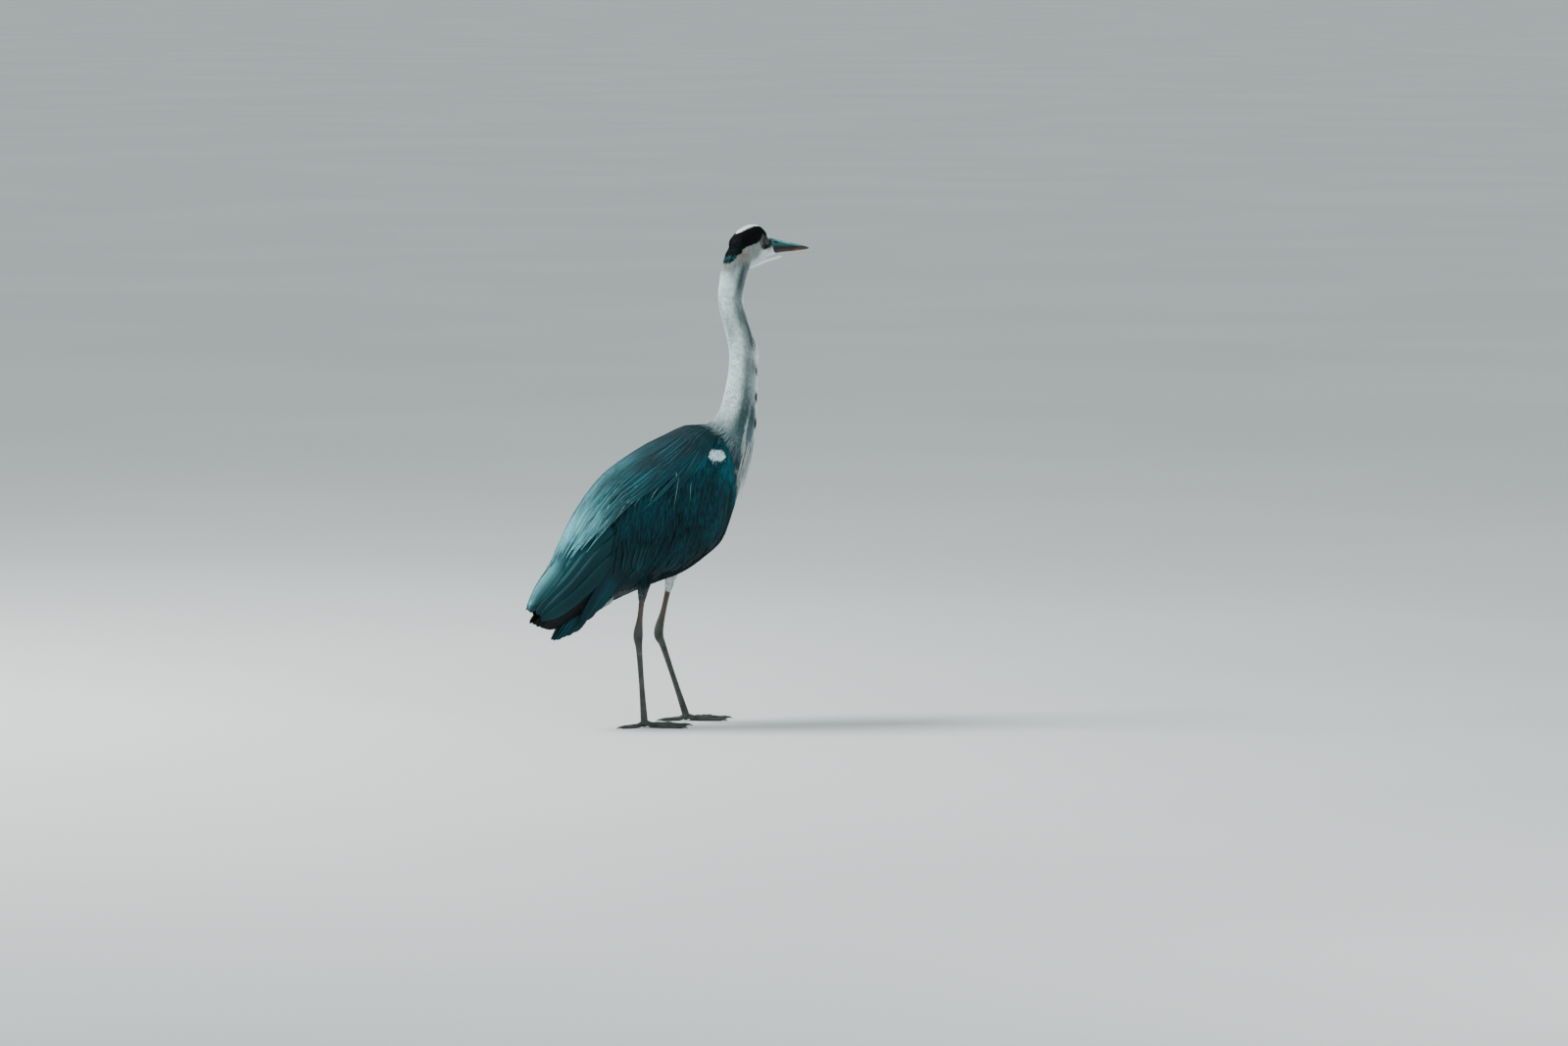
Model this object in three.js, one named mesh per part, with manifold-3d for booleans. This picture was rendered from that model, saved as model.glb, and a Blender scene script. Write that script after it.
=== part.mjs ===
// A grey heron at life size, standing in its watchful pose: neck up, one foot a step ahead of
// the other, head turned a little to its left. Millimetres; the bird faces +X, +Y is its left
// and +Z is up. It is drawn with the soles at Z = 0 and the middle of its stance near X = Y = 0,
// and the group is then shifted so that the origin lies under the middle of its outline.
import * as THREE from "three";
import Module from "manifold-3d";

const wasm = await Module();
wasm.setup();

// ------------------------------------------------------------------ driving sizes
const GAP = 0.3; // kept between nodes that touch
const FLOOR = 0;

// Body forms are drawn in the bird's middle plane. Each station is a point on the upper line,
// a point on the lower line and half the width across the flanks: [x, z, x, z, half width].
const OUTLINE = [
  // the outside of the bird with its wings folded, from the base of the neck to the wing tips
  [100, 515, 134, 440, 40],
  [74, 526, 127, 404, 54],
  [41, 524, 112, 356, 66],
  [5, 509, 96, 318, 75],
  [-35, 490, 66, 292, 80],
  [-75, 467, 26, 267, 80],
  [-112, 441, -15, 253, 76],
  [-143, 407, -55, 240, 68],
  [-167, 372, -95, 227, 58],
  [-188, 335, -128, 214, 47],
  [-208, 297, -160, 205, 38],
  [-233, 263, -200, 192, 30],
  [-254, 226, -240, 191, 20],
];
const TORSO = [
  // the trunk under the wings, from inside the base of the neck to the root of the tail
  [96, 492, 122, 452, 26],
  [88, 503, 131, 438, 38],
  [66, 514, 126, 402, 48],
  [37, 512, 111, 356, 56],
  [3, 497, 95, 318, 62],
  [-33, 477, 65, 292, 66],
  [-70, 453, 26, 267, 66],
  [-104, 426, -15, 253, 61],
  [-132, 391, -53, 240, 53],
  [-148, 350, -84, 228, 42],
  [-150, 305, -106, 219, 30],
  [-140, 268, -118, 222, 16],
];
const NECK = [
  // from inside the trunk up to inside the back of the head
  [36, 492, 92, 384, 40],
  [62, 516, 128, 420, 45],
  [76, 527, 151, 472, 43],
  [90, 539, 164, 516, 37],
  [99, 557, 167, 552, 31],
  [107, 588, 168, 590, 27],
  [113, 622, 168, 624, 25],
  [113, 655, 170, 652, 24],
  [105, 692, 156, 690, 23],
  [96, 722, 146, 719, 22.5],
  [93, 750, 141, 748, 22.5],
  [96, 778, 147, 775, 23],
  [101, 806, 158, 797, 22],
  [112, 832, 172, 812, 18],
];

// The head is drawn in its own frame: origin midway between the eyes, x along the bill.
const HEAD_AT = new THREE.Vector3(179.7, 21, 843);
const HEAD_TURN = 20; // degrees to the bird's left
const SKULL = [
  [-66, 4, -62, -18, 8],
  [-60, 12, -56, -32, 15],
  [-46, 22.5, -45, -42, 20],
  [-31, 29, -30, -46, 22],
  [-16, 31.5, -15, -43, 21.5],
  [-3, 28, -2, -35, 19],
  [9, 18, 9, -30, 15.5],
  [18, 9, 19, -27.5, 12],
  [27, -6, 30, -26, 8.5],
  [37, -14, 39, -24, 5],
];
const BILL_LENGTH = 96; // from the feathers of the forehead to the tip
const BILL_BASE = 17; // x of those feathers
const BILL_ROOT = 5; // how far the bill is let into the head
const BILL_TIP = [BILL_BASE + BILL_LENGTH, -14.5];
const GAPE_LINE = [-4, -10.8]; // corner of the mouth, [x, z]
const EYE = { radius: 7.4, out: 11.6, lid: 6.1, lidThick: 1.4, lidOut: 4.6 };
const NOSTRIL = { x: 30, z: -1.2, out: 8.6, slope: 0.14, long: 9, high: 1.7, deep: 2.4 };
const MOUTH = { past: 8, out: 15.5, high: 1.1, deep: 4.5, spread: 20 }; // its groove in the cheek
const CHIN = { line: [[-24, -34], [12, -34.6], [47.7, -28.4]], halves: [8, 4, 0.5] };

// Each leg: where the feathered thigh leaves the belly, the ankle and the joint above the toes.
const LEGS = {
  right: {
    side: -1, hip: [-46, -32, 296], knee: [-58, -37, 246], ankle: [-68, -38, 163], foot: [-57, -38, 12],
  },
  left: {
    side: 1, hip: [40, 32, 320], knee: [20, 37, 262], ankle: [-4, 38, 158], foot: [46, 38, 12],
  },
};
const THIGH = { halves: [25, 19, 12, 6.6], middle: 0.55, end: 0.32 }; // its feathers end on the shank
const SHANK = 4.7; // half width of the bare shank
const ANKLE = 8.2;
const TARSUS = 4.6;
const TOES = [
  // name, degrees from straight ahead (outwards is positive), length, half width at the root
  { name: "inner", turn: -27, length: 62, half: 3.9 },
  { name: "middle", turn: 2, length: 76, half: 4.1 },
  { name: "outer", turn: 32, length: 66, half: 3.9 },
  { name: "hind", turn: 174, length: 41, half: 3.9 },
];
const CLAW = { length: 13, half: 2.3 };
const FOOT_PAD = { radius: 7.4, height: 8.3 };
const TAIL = {
  root: [-118, 286], tip: [-199, 145], feathers: 12, wide: 8.6,
  rootHalf: 12, half: 31, step: [1.3, 1.9], round: 15,
};
const WINGS_APART = 0.6; // from the bird's middle plane to each wing
const SHAFT = 0.9; // thickness of a quill feather

// Colours: slate upper side, near-white neck, black crown, pale belly, horn bill, dull legs.
const SLATE = { color: 0x2b565c, roughness: 0.85, metalness: 0 };
const WING = { color: 0x274d54, roughness: 0.85, metalness: 0 };
const PALE = { color: 0xc9d4d3, roughness: 0.9, metalness: 0 };
const ASH = { color: 0x9aa9a9, roughness: 0.9, metalness: 0 };
const HEAD = { color: 0xb9c3c1, roughness: 0.9, metalness: 0 };
const BILL = { color: 0x5f8f8c, roughness: 0.45, metalness: 0 };
const BILL_UNDER = { color: 0x8a5a44, roughness: 0.45, metalness: 0 };
const EYEBALL = { color: 0xcdbf6a, roughness: 0.1, metalness: 0 };
const LEG = { color: 0x56564e, roughness: 0.6, metalness: 0 };
const CLAWS = { color: 0x231f1c, roughness: 0.4, metalness: 0 };

// ------------------------------------------------------------------ solids
const V = (x, y, z) => new THREE.Vector3(x, y, z);
const DEG = Math.PI / 180;
const { clamp, lerp, smoothstep } = THREE.MathUtils;

// One closed surface as a solid; a form that was drawn inside out is turned round.
function solidOf(positions, triangles) {
  const make = () =>
    new wasm.Manifold(
      new wasm.Mesh({
        numProp: 3,
        vertProperties: new Float32Array(positions),
        triVerts: new Uint32Array(triangles),
      }),
    );
  const made = make();
  if (made.volume() > 0) return made;
  for (let i = 0; i < triangles.length; i += 3)
    [triangles[i + 1], triangles[i + 2]] = [triangles[i + 2], triangles[i + 1]];
  return make();
}

// A skin over rings that all have the same number of points, closed on each end ring's middle.
// Both halves of a ring are split along the same diagonals, so a thin twisted form stays clear
// of itself.
function skin(rings) {
  const around = rings[0].length;
  const points = rings.flat();
  const triangles = [];
  const at = (ring, k) => ring * around + (k % around);
  for (let ring = 0; ring + 1 < rings.length; ring++)
    for (let k = 0; k < around; k++) {
      const [a, b] = [at(ring, k), at(ring, k + 1)];
      const [d, c] = [at(ring + 1, k), at(ring + 1, k + 1)];
      if (k < around / 2) triangles.push(a, b, c, a, c, d);
      else triangles.push(a, b, d, b, c, d);
    }
  for (const ring of [0, rings.length - 1]) {
    const middle = rings[ring].reduce((sum, p) => sum.add(p), V(0, 0, 0)).divideScalar(around);
    const hub = points.push(middle) - 1;
    for (let k = 0; k < around; k++) {
      const edge = [at(ring, k), at(ring, k + 1)];
      triangles.push(hub, ...(ring ? edge : edge.reverse()));
    }
  }
  return solidOf(points.flatMap((p) => p.toArray()), triangles);
}

// A three.js geometry as a solid, placed by a matrix.
function solidFrom(geometry, matrix = new THREE.Matrix4()) {
  const placed = geometry.clone().applyMatrix4(matrix);
  const position = placed.getAttribute("position");
  const index = new Map();
  const points = [];
  const vertexOf = [];
  for (let i = 0; i < position.count; i++) {
    const p = V(0, 0, 0).fromBufferAttribute(position, i);
    const key = p.toArray().map((x) => Math.round(x * 1e4)).join();
    if (!index.has(key)) index.set(key, points.push(p) - 1);
    vertexOf.push(index.get(key));
  }
  const corners = [...placed.index.array].map((i) => vertexOf[i]);
  const triangles = [];
  for (let i = 0; i < corners.length; i += 3) {
    const [a, b, c] = corners.slice(i, i + 3);
    if (a !== b && b !== c && c !== a) triangles.push(a, b, c);
  }
  return solidOf(points.flatMap((p) => p.toArray()), triangles);
}

const join = (parts) => wasm.Manifold.union(parts);

// What is left after a cut: the largest closed piece, with no loose scraps.
function largest(solid) {
  const pieces = solid.decompose().sort((a, b) => b.volume() - a.volume());
  return pieces[0];
}

// The part of a solid on one side of a plane through a point.
function beyond(solid, point, normal) {
  const n = normal.clone().normalize();
  return solid.trimByPlane(n.toArray(), n.dot(point) + GAP / 2);
}

// Numbers that vary from feather to feather, the same ones on every run.
function dice(seed) {
  let state = seed;
  return (spread) => {
    state = (state * 1664525 + 1013904223) % 4294967296;
    return (state / 4294967296 - 0.5) * 2 * spread;
  };
}

// ------------------------------------------------------------------ forms
const flatten = (x, power) => Math.sign(x) * Math.abs(x) ** power;

// A form through stations. form(s, turn, out) is the point at station s, turned from the upper
// line towards the bird's left, and lifted off the surface by out.
function formOf(stations, power = 0.9) {
  const curve = (pick) =>
    new THREE.CatmullRomCurve3(stations.map(pick), false, "catmullrom", 0.5);
  const upper = curve(([x, z]) => V(x, 0, z));
  const lower = curve(([, , x, z]) => V(x, 0, z));
  const flank = curve(([, , , , half]) => V(half, 0, 0));
  const last = stations.length - 1;
  const form = (s, turn, out = 0) => {
    const t = clamp(s / last, 0, 1);
    const up = upper.getPoint(t);
    const low = lower.getPoint(t);
    const half = flank.getPoint(t).x;
    const middle = up.clone().add(low).multiplyScalar(0.5);
    const rise = up.sub(low).multiplyScalar(0.5);
    const along = flatten(Math.cos(turn), power);
    const across = flatten(Math.sin(turn), power);
    const normal = rise.clone().multiplyScalar(along / rise.lengthSq());
    normal.y += across / half;
    return middle
      .addScaledVector(rise, along)
      .add(V(0, half * across, 0))
      .addScaledVector(normal.normalize(), out);
  };
  form.last = last;
  return form;
}

// The whole form as a solid, grown by out on every side.
function body(form, steps, around, out = 0) {
  const rings = [];
  for (let i = 0; i <= steps; i++) {
    const s = (form.last * i) / steps;
    const ring = [];
    for (let k = 0; k < around; k++) ring.push(form(s, (2 * Math.PI * k) / around, out));
    rings.push(ring);
  }
  return skin(rings);
}

// A shell on a form between two turns in degrees. Its outer side is lifted by out, and its
// inner side lies depth under the form.
function shell(form, { from, to, steps, edges, across, out, depth, side = 1 }) {
  const rings = [];
  for (let i = 0; i <= steps; i++) {
    const s = lerp(from, to, i / steps);
    const [near, far] = edges(s);
    const row = (height) => {
      const points = [];
      for (let k = 0; k <= across; k++) {
        const degrees = lerp(near, far, k / across);
        points.push(form(s, degrees * DEG * side, height(degrees)));
      }
      return points;
    };
    const outer = row((degrees) => out(s, degrees));
    const inner = row(() => -depth(s));
    rings.push([...outer, ...inner.reverse()]);
  }
  return skin(rings);
}

// Half width along a feather, as a share of its widest part, from root (0) to tip (1).
const QUILL = (t) => Math.min(0.5 + 1.6 * t, 1) * Math.sqrt(1 - (Math.max(t - 0.72, 0) / 0.3) ** 2);
const FEW = [0, 0.35, 0.75, 0.93, 1]; // where a short vane has its cross sections
const MORE = [0, 0.22, 0.5, 0.78, 0.93, 1];
const PLUME = (t) => Math.min(0.55 + 1.5 * t, 1) * (1 - 0.88 * smoothstep(t, 0.35, 1));

// A vane along a path: path(t) gives a point, the way out of the surface at it and the sideways
// tilt in degrees. The middle stands a little over the edges, as a feather's shaft does.
function vane(path, { half, thick = SHAFT, outline = QUILL, cuts = FEW, camber = 0 }) {
  const rings = cuts.map((t) => {
    const { point, out, tilt = 0 } = path(t);
    const ahead = path(Math.min(t + 0.02, 1)).point;
    const behind = path(Math.max(t - 0.02, 0)).point;
    const along = ahead.sub(behind).normalize();
    const across = along.clone().cross(out).normalize().applyAxisAngle(along, tilt * DEG);
    const up = across.clone().cross(along).normalize();
    const width = half * outline(t);
    const deep = (thick * (t > 0.9 ? 0.7 : 1)) / 2;
    const corner = (side, height) =>
      point.clone().addScaledVector(across, side * width).addScaledVector(up, height);
    if (!camber) return [corner(-1, -deep), corner(-1, deep), corner(1, deep), corner(1, -deep)];
    return [
      corner(-1, -deep - camber),
      corner(-1, deep - camber),
      corner(0, deep),
      corner(1, deep - camber),
      corner(1, -deep - camber),
      corner(0, -deep),
    ];
  });
  return skin(rings);
}

// A path over a form from one place [station, turn in degrees, height] to another, bowed in turn.
// Feathers of a flat row face more to the side than the form under them does.
function lying(form, side, root, tip, { bow = 0, tilt = 0, rise = 0.4, flat = 0 } = {}) {
  return (t) => {
    const s = lerp(root[0], tip[0], t);
    const degrees = lerp(root[1], tip[1], t) + bow * Math.sin(Math.PI * t);
    const height = lerp(root[2], tip[2], smoothstep(t, -0.1, rise));
    const point = form(s, degrees * DEG * side, height);
    const facing = lerp(degrees, 90, flat) * DEG * side;
    const out = form(s, facing, 1).sub(form(s, facing, 0));
    return { point, out, tilt: tilt * side };
  };
}

// A round limb through points, with a half width at each; flat ends.
function limb(points, halves, steps, around) {
  const line = new THREE.CatmullRomCurve3(points, false, "catmullrom", 0.5);
  const size = new THREE.CatmullRomCurve3(halves.map((h) => V(h, 0, 0)), false, "catmullrom", 0.5);
  const rings = [];
  for (let i = 0; i <= steps; i++) {
    const t = i / steps;
    const centre = line.getPoint(t);
    const along = line.getTangent(t);
    const across = V(0, 1, 0).cross(along).normalize();
    const other = along.clone().cross(across);
    const half = size.getPoint(t).x;
    const ring = [];
    for (let k = 0; k < around; k++) {
      const turn = (2 * Math.PI * k) / around;
      ring.push(
        centre
          .clone()
          .addScaledVector(across, half * Math.cos(turn))
          .addScaledVector(other, half * Math.sin(turn)),
      );
    }
    rings.push(ring);
  }
  return skin(rings);
}

// ------------------------------------------------------------------ trunk, neck and head
const outline = formOf(OUTLINE, 0.88);
const torsoForm = formOf(TORSO);
const straightNeck = formOf(NECK, 0.96);
// The top of the neck turns with the head, about an upright line through the nape.
const NECK_TURN = { x: 120, from: 735, to: 812 }; // starts and ends at these heights
const UP = V(0, 0, 1);
const neckForm = (s, turn, out = 0) => {
  const p = straightNeck(s, turn, out);
  const share = smoothstep(p.z, NECK_TURN.from, NECK_TURN.to);
  p.x -= NECK_TURN.x;
  p.applyAxisAngle(UP, share * HEAD_TURN * DEG);
  p.x += NECK_TURN.x;
  return p;
};
neckForm.last = straightNeck.last;
const skullForm = formOf(SKULL, 0.96);

const headFrame = new THREE.Matrix4()
  .makeTranslation(HEAD_AT)
  .multiply(new THREE.Matrix4().makeRotationZ(HEAD_TURN * DEG));
const inHead = (solid) => solid.transform(headFrame.elements);

const trunk = (out = 0) => body(torsoForm, 14, 20, out);
const neck = (out = 0) => body(neckForm, 22, 14, out);
const skull = (out = 0) => inHead(body(skullForm, 12, 16, out));
const flesh = (out = 0) => join([trunk(out), neck(out), skull(out)]);

// The bill is one wedge from the head to its tip, parted along the mouth.
const billForm = formOf([
  [BILL_BASE - BILL_ROOT, 10.5, BILL_BASE - BILL_ROOT - 1, -24, 10.5],
  [BILL_BASE + 6, 6, BILL_BASE + 6, -23, 9.4],
  [BILL_BASE + 31, 1.6, BILL_BASE + 31, -20.4, 6.3],
  [BILL_BASE + 63, -5.2, BILL_BASE + 63, -18.8, 3.8],
  [BILL_BASE + 86, -10.8, BILL_BASE + 86, -17.2, 1.9],
  [...BILL_TIP, BILL_TIP[0] - 0.5, BILL_TIP[1] - 0.8, 0.35],
]);
const bill = (out = 0) => body(billForm, 9, 12, out);
const mouthPoint = V(GAPE_LINE[0], 0, GAPE_LINE[1]);
const mouthUp = V(GAPE_LINE[1] - BILL_TIP[1], 0, BILL_TIP[0] - GAPE_LINE[0]);

const nostril = (side) => {
  const matrix = new THREE.Matrix4()
    .makeTranslation(NOSTRIL.x, side * NOSTRIL.out, NOSTRIL.z)
    .multiply(new THREE.Matrix4().makeRotationY(NOSTRIL.slope))
    .scale(V(NOSTRIL.long / 2, NOSTRIL.deep / 2, NOSTRIL.high / 2));
  return solidFrom(new THREE.SphereGeometry(1, 8, 4), matrix);
};
const upperBill = inHead(
  beyond(bill(), mouthPoint, mouthUp).subtract(join([nostril(1), nostril(-1)])),
);
const lowerBill = inHead(beyond(bill(), mouthPoint, mouthUp.clone().negate()));

const eyeAt = (side) => V(0, side * EYE.out, 0);
const eyeball = (side, grow = 0) => {
  const place = new THREE.Matrix4().makeRotationX(Math.PI / 2).setPosition(eyeAt(side));
  return inHead(solidFrom(new THREE.SphereGeometry(EYE.radius + grow, 12, 7), place));
};
// The lids stand round the eye as a low ring that faces the way the eye looks.
const lids = (side) => {
  const look = V(0.34, side, 0.16).normalize();
  const place = new THREE.Matrix4().lookAt(look, V(0, 0, 0), UP);
  place.setPosition(eyeAt(side).addScaledVector(look, EYE.lidOut)).scale(V(1.08, 0.94, 1));
  return inHead(solidFrom(new THREE.TorusGeometry(EYE.lid, EYE.lidThick, 5, 12), place));
};
// The mouth runs back under the eye as a groove in each cheek.
const mouthCorner = (side) => {
  const length = BILL_BASE - GAPE_LINE[0] + MOUTH.past;
  const matrix = new THREE.Matrix4()
    .makeTranslation(GAPE_LINE[0] + length / 2, side * MOUTH.out, GAPE_LINE[1])
    .multiply(new THREE.Matrix4().makeRotationZ(-side * MOUTH.spread * DEG));
  return inHead(solidFrom(new THREE.BoxGeometry(length, MOUTH.deep, MOUTH.high), matrix));
};

// The crest: narrow black feathers from the back of the crown down over the nape.
function crest() {
  const throwOf = dice(7);
  const feathers = [];
  const count = 5;
  for (let i = 0; i < count; i++) {
    const side = (2 * i) / (count - 1) - 1;
    const fall = 1 - 0.3 * side * side + throwOf(0.08);
    const line = new THREE.CatmullRomCurve3([
      V(-42, side * 10, 18 - 4 * side * side),
      V(-61, side * 12, 8.5 - 8 * side * side),
      V(-72.5 + 4 * side * side, side * 10, -11),
      V(-75 - 7 * fall + 5 * side * side, side * 6, -11 - 27 * fall),
    ]);
    const path = (t) => {
      const point = line.getPoint(t);
      return { point, out: V(-1, point.y * 0.04, 0.9 - t) };
    };
    feathers.push(vane(path, { half: 4.8, thick: 1.2, outline: PLUME }));
  }
  return inHead(join(feathers));
}

// The white feathers of the chin reach forward in a point under the bill.
const chin = () => inHead(limb(CHIN.line.map(([x, z]) => V(x, 0, z)), CHIN.halves, 5, 8));

const both = (make, ...rest) => [make(1, ...rest), make(-1, ...rest)];
const wholeFlesh = flesh();
// Planes across the neck, from the breast up to the head: a point and the way up the neck.
const NECK_CUTS = [
  { point: V(137, 0, 440), up: V(87, 0, 62) },
  { point: V(134, 0, 566), up: V(0.2, 0, 1) },
  { point: V(138, 0, 668), up: V(0.05, 0, 1) },
  { point: V(120, 0, 736), up: V(0.02, 0, 1) },
  { point: V(128, 0, 796), up: V(-0.01, 0, 1) },
];
const above = (solid, { point, up }) => beyond(solid, point, up);
const below = (solid, { point, up }) => beyond(solid, point, up.clone().negate());
const neckLength = (i) => below(above(wholeFlesh, NECK_CUTS[i]), NECK_CUTS[i + 1]);

const head = largest(
  above(join([wholeFlesh, crest(), chin(), ...both(lids)]), NECK_CUTS.at(-1))
    .subtract(join([inHead(bill(GAP)), ...both(eyeball, GAP), ...both(mouthCorner)])),
);

// Long narrow feathers hang from the base of the neck over the breast.
function breastPlumes() {
  const throwOf = dice(23);
  const feathers = [];
  const count = 8;
  for (let i = 0; i < count; i++) {
    const side = (2 * i) / (count - 1) - 1;
    const turn = (180 - 62 * side) * DEG;
    const root = neckForm(2.2 - 0.3 * Math.abs(side), turn, -3);
    const away = neckForm(1.6, turn, 3).sub(neckForm(1.6, turn, -3)).normalize();
    const knee = neckForm(1.25, turn, 3);
    const length = 62 - 16 * Math.abs(side) + throwOf(10);
    const tip = knee.clone().add(V(throwOf(2) - 9, side * 3, -length)).addScaledVector(away, 2);
    const line = new THREE.QuadraticBezierCurve3(root, knee, tip);
    const path = (t) => ({ point: line.getPoint(t), out: away });
    feathers.push(vane(path, { half: 3.6, thick: 0.9, outline: PLUME }));
  }
  return join(feathers);
}
const neckBase = largest(join([neckLength(0), breastPlumes()]).subtract(trunk(GAP)));

// ------------------------------------------------------------------ legs and feet
const at = (place) => V(...place);
function thigh(leg, grow = 0) {
  const middle = at(leg.hip).lerp(at(leg.knee), THIGH.middle);
  const points = [at(leg.hip), middle, at(leg.knee), shankTop(leg)];
  return limb(points, THIGH.halves.map((half) => half + grow), 7, 12);
}
const shankTop = (leg) => at(leg.knee).lerp(at(leg.ankle), THIGH.end);
function lowerLeg(leg, grow = 0) {
  const knee = at(leg.knee);
  const ankle = at(leg.ankle);
  const foot = at(leg.foot);
  const points = [
    knee.clone().lerp(ankle, 0.1),
    knee.clone().lerp(ankle, 0.6),
    ankle,
    ankle.clone().lerp(foot, 0.18),
    ankle.clone().lerp(foot, 0.6),
    foot,
  ];
  const halves = [SHANK + 0.6, SHANK, ANKLE, TARSUS + 0.8, TARSUS, TARSUS + 1.6];
  return limb(points, halves.map((half) => half + grow), 15, 10);
}
// A toe and its claw lie along one line and are parted by a plane across it.
function toeLine(leg, { turn, length }) {
  const start = at(leg.foot).setZ(9);
  const ahead = V(Math.cos(turn * DEG), leg.side * Math.sin(turn * DEG), 0);
  const place = (distance, z) => start.clone().addScaledVector(ahead, distance).setZ(z);
  return { start, place, ahead, end: place(length, 0) };
}
// Toes have six sides with one side down. SUNK times its half width, the middle of a toe lies
// just low enough for the floor to cut that side flat.
const SUNK = 0.8;
function toe(leg, each) {
  const { start, place, ahead, end } = toeLine(leg, each);
  const { length, half } = each;
  const halves = [half + 1, half, half + 0.3, half - 0.4, half - 0.9];
  const points = [
    start,
    place(0.25 * length, half + 0.6),
    place(0.5 * length, SUNK * halves[2]),
    place(0.78 * length, SUNK * halves[3]),
    place(length + 1, SUNK * halves[4]),
  ];
  return beyond(limb(points, halves, 6, 6), end, ahead.clone().negate());
}
function claw(leg, each) {
  const { place, ahead, end } = toeLine(leg, each);
  const { length, half } = each;
  const height = SUNK * (half - 0.9);
  const points = [
    place(length - 1, height),
    place(length + 5, height + 0.2),
    place(length + CLAW.length, 0.8),
  ];
  const whole = limb(points, [CLAW.half, CLAW.half * 0.8, 0.35], 3, 6);
  return flatSole(beyond(whole, end, ahead));
}
const flatSole = (solid) => solid.trimByPlane([0, 0, 1], FLOOR);
const footCut = (leg) => at(leg.foot).lerp(at(leg.ankle), 0.06);
const footUp = (leg) => at(leg.ankle).sub(at(leg.foot));
const ankleUp = (leg) => {
  const above = at(leg.knee).sub(at(leg.ankle)).normalize();
  const below = at(leg.ankle).sub(at(leg.foot)).normalize();
  return above.add(below);
};
// The joint that the toes spring from, as a pad round the end of the tarsus.
function footJoint(leg, grow = 0) {
  const pad = solidFrom(
    new THREE.SphereGeometry(FOOT_PAD.radius + grow, 10, 6),
    new THREE.Matrix4().makeTranslation(leg.foot[0], leg.foot[1], FOOT_PAD.height),
  );
  return join([pad, beyond(lowerLeg(leg, grow), footCut(leg), footUp(leg).negate())]);
}
// Each toe, clear of the joint and of the toe before it.
function toesOf(leg) {
  let room = footJoint(leg, GAP);
  return TOES.map((each) => {
    const made = largest(flatSole(toe(leg, each).subtract(room)));
    room = join([room, toe(leg, { ...each, half: each.half + GAP })]);
    return made;
  });
}

// ------------------------------------------------------------------ wings
// Rows of wing feathers. Each runs from a line of roots to a line of tips, both given by their
// first and last feather as [station, turn in degrees, height over the bird's outline]. The row
// over another ends higher, and each feather leans so that its lower edge covers the next.
const PRIMARIES = {
  count: 4, half: 9, tilt: -8, flat: 0.6, outline: QUILL, cuts: MORE, seed: 3,
  roots: [[8.2, 134, -9], [8.6, 100, -9]],
  tips: [[11.1, 162, -3], [12, 118, -6]],
};
const SECONDARIES = {
  count: 7, half: 12, tilt: -9, flat: 0.7, rise: 0.7, outline: QUILL, cuts: MORE, seed: 4,
  roots: [[3.3, 108, -9], [7.4, 112, -9]],
  tips: [[5.6, 150, -3.6], [10.8, 134, -3.6]],
};
const TERTIALS = {
  count: 5, half: 12.5, tilt: -9, flat: 0.6, outline: QUILL, cuts: MORE, seed: 5,
  roots: [[6.9, 104, -9], [7.5, 46, -9]],
  tips: [[11.6, 112, -1.4], [12, 40, -1.4]],
};
const GREATER_COVERTS = {
  count: 6, half: 12.5, tilt: -8, flat: 0.3, outline: QUILL, seed: 6,
  roots: [[2.5, 98, -5], [6.7, 76, -5]],
  tips: [[4.4, 133, -0.6], [8.9, 100, 0.6]],
};
// The wing without its quills is a shell. It lies near the outline where short feathers clothe
// it, and deeper under the long ones.
const CLOTHED = -1;
const BARE = -9.5;
const covertLine = (s) => lerp(98, 76, clamp((s - 2.5) / 4.2, 0, 1));
const wingOut = (s, degrees) => {
  const line = covertLine(s);
  const below = smoothstep(degrees, line - 4, line + 16);
  return lerp(CLOTHED, BARE, Math.max(below, smoothstep(s, 6.4, 7.8)));
};
const wingEdges = (s) => [
  lerp(52, 36, smoothstep(s, 1.6, 3)) - 12 * smoothstep(s, 9, 11),
  lerp(116, 142, smoothstep(s, 1.6, 4)),
];
const wingCore = (side) =>
  shell(outline, {
    from: 1.7,
    to: 10.6,
    steps: 11,
    across: 6,
    edges: wingEdges,
    out: wingOut,
    depth: (s) => lerp(lerp(10, 18, smoothstep(s, 1.6, 3)), 12.5, smoothstep(s, 8.6, 10.4)),
    side,
  });

function row(form, side, { count, half, roots, tips, tilt, outline: shape, seed, ...rest }) {
  const throwOf = dice(seed * 97 + (side > 0 ? 5 : 0));
  const vanes = [];
  for (let i = 0; i < count; i++) {
    const share = i / (count - 1);
    const mix = ([a, b]) => a.map((value, j) => lerp(value, b[j], share));
    const root = mix(roots);
    const tip = mix(tips);
    tip[0] += throwOf(0.08);
    tip[1] += throwOf(1);
    const wide = half * (1 + throwOf(0.05));
    const path = lying(form, side, root, tip, { tilt, ...rest });
    vanes.push(vane(path, { half: wide, outline: shape, ...rest }));
  }
  return vanes;
}
const wingFeathers = (side) =>
  [PRIMARIES, SECONDARIES, TERTIALS, GREATER_COVERTS].flatMap((each) => row(outline, side, each));

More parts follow.
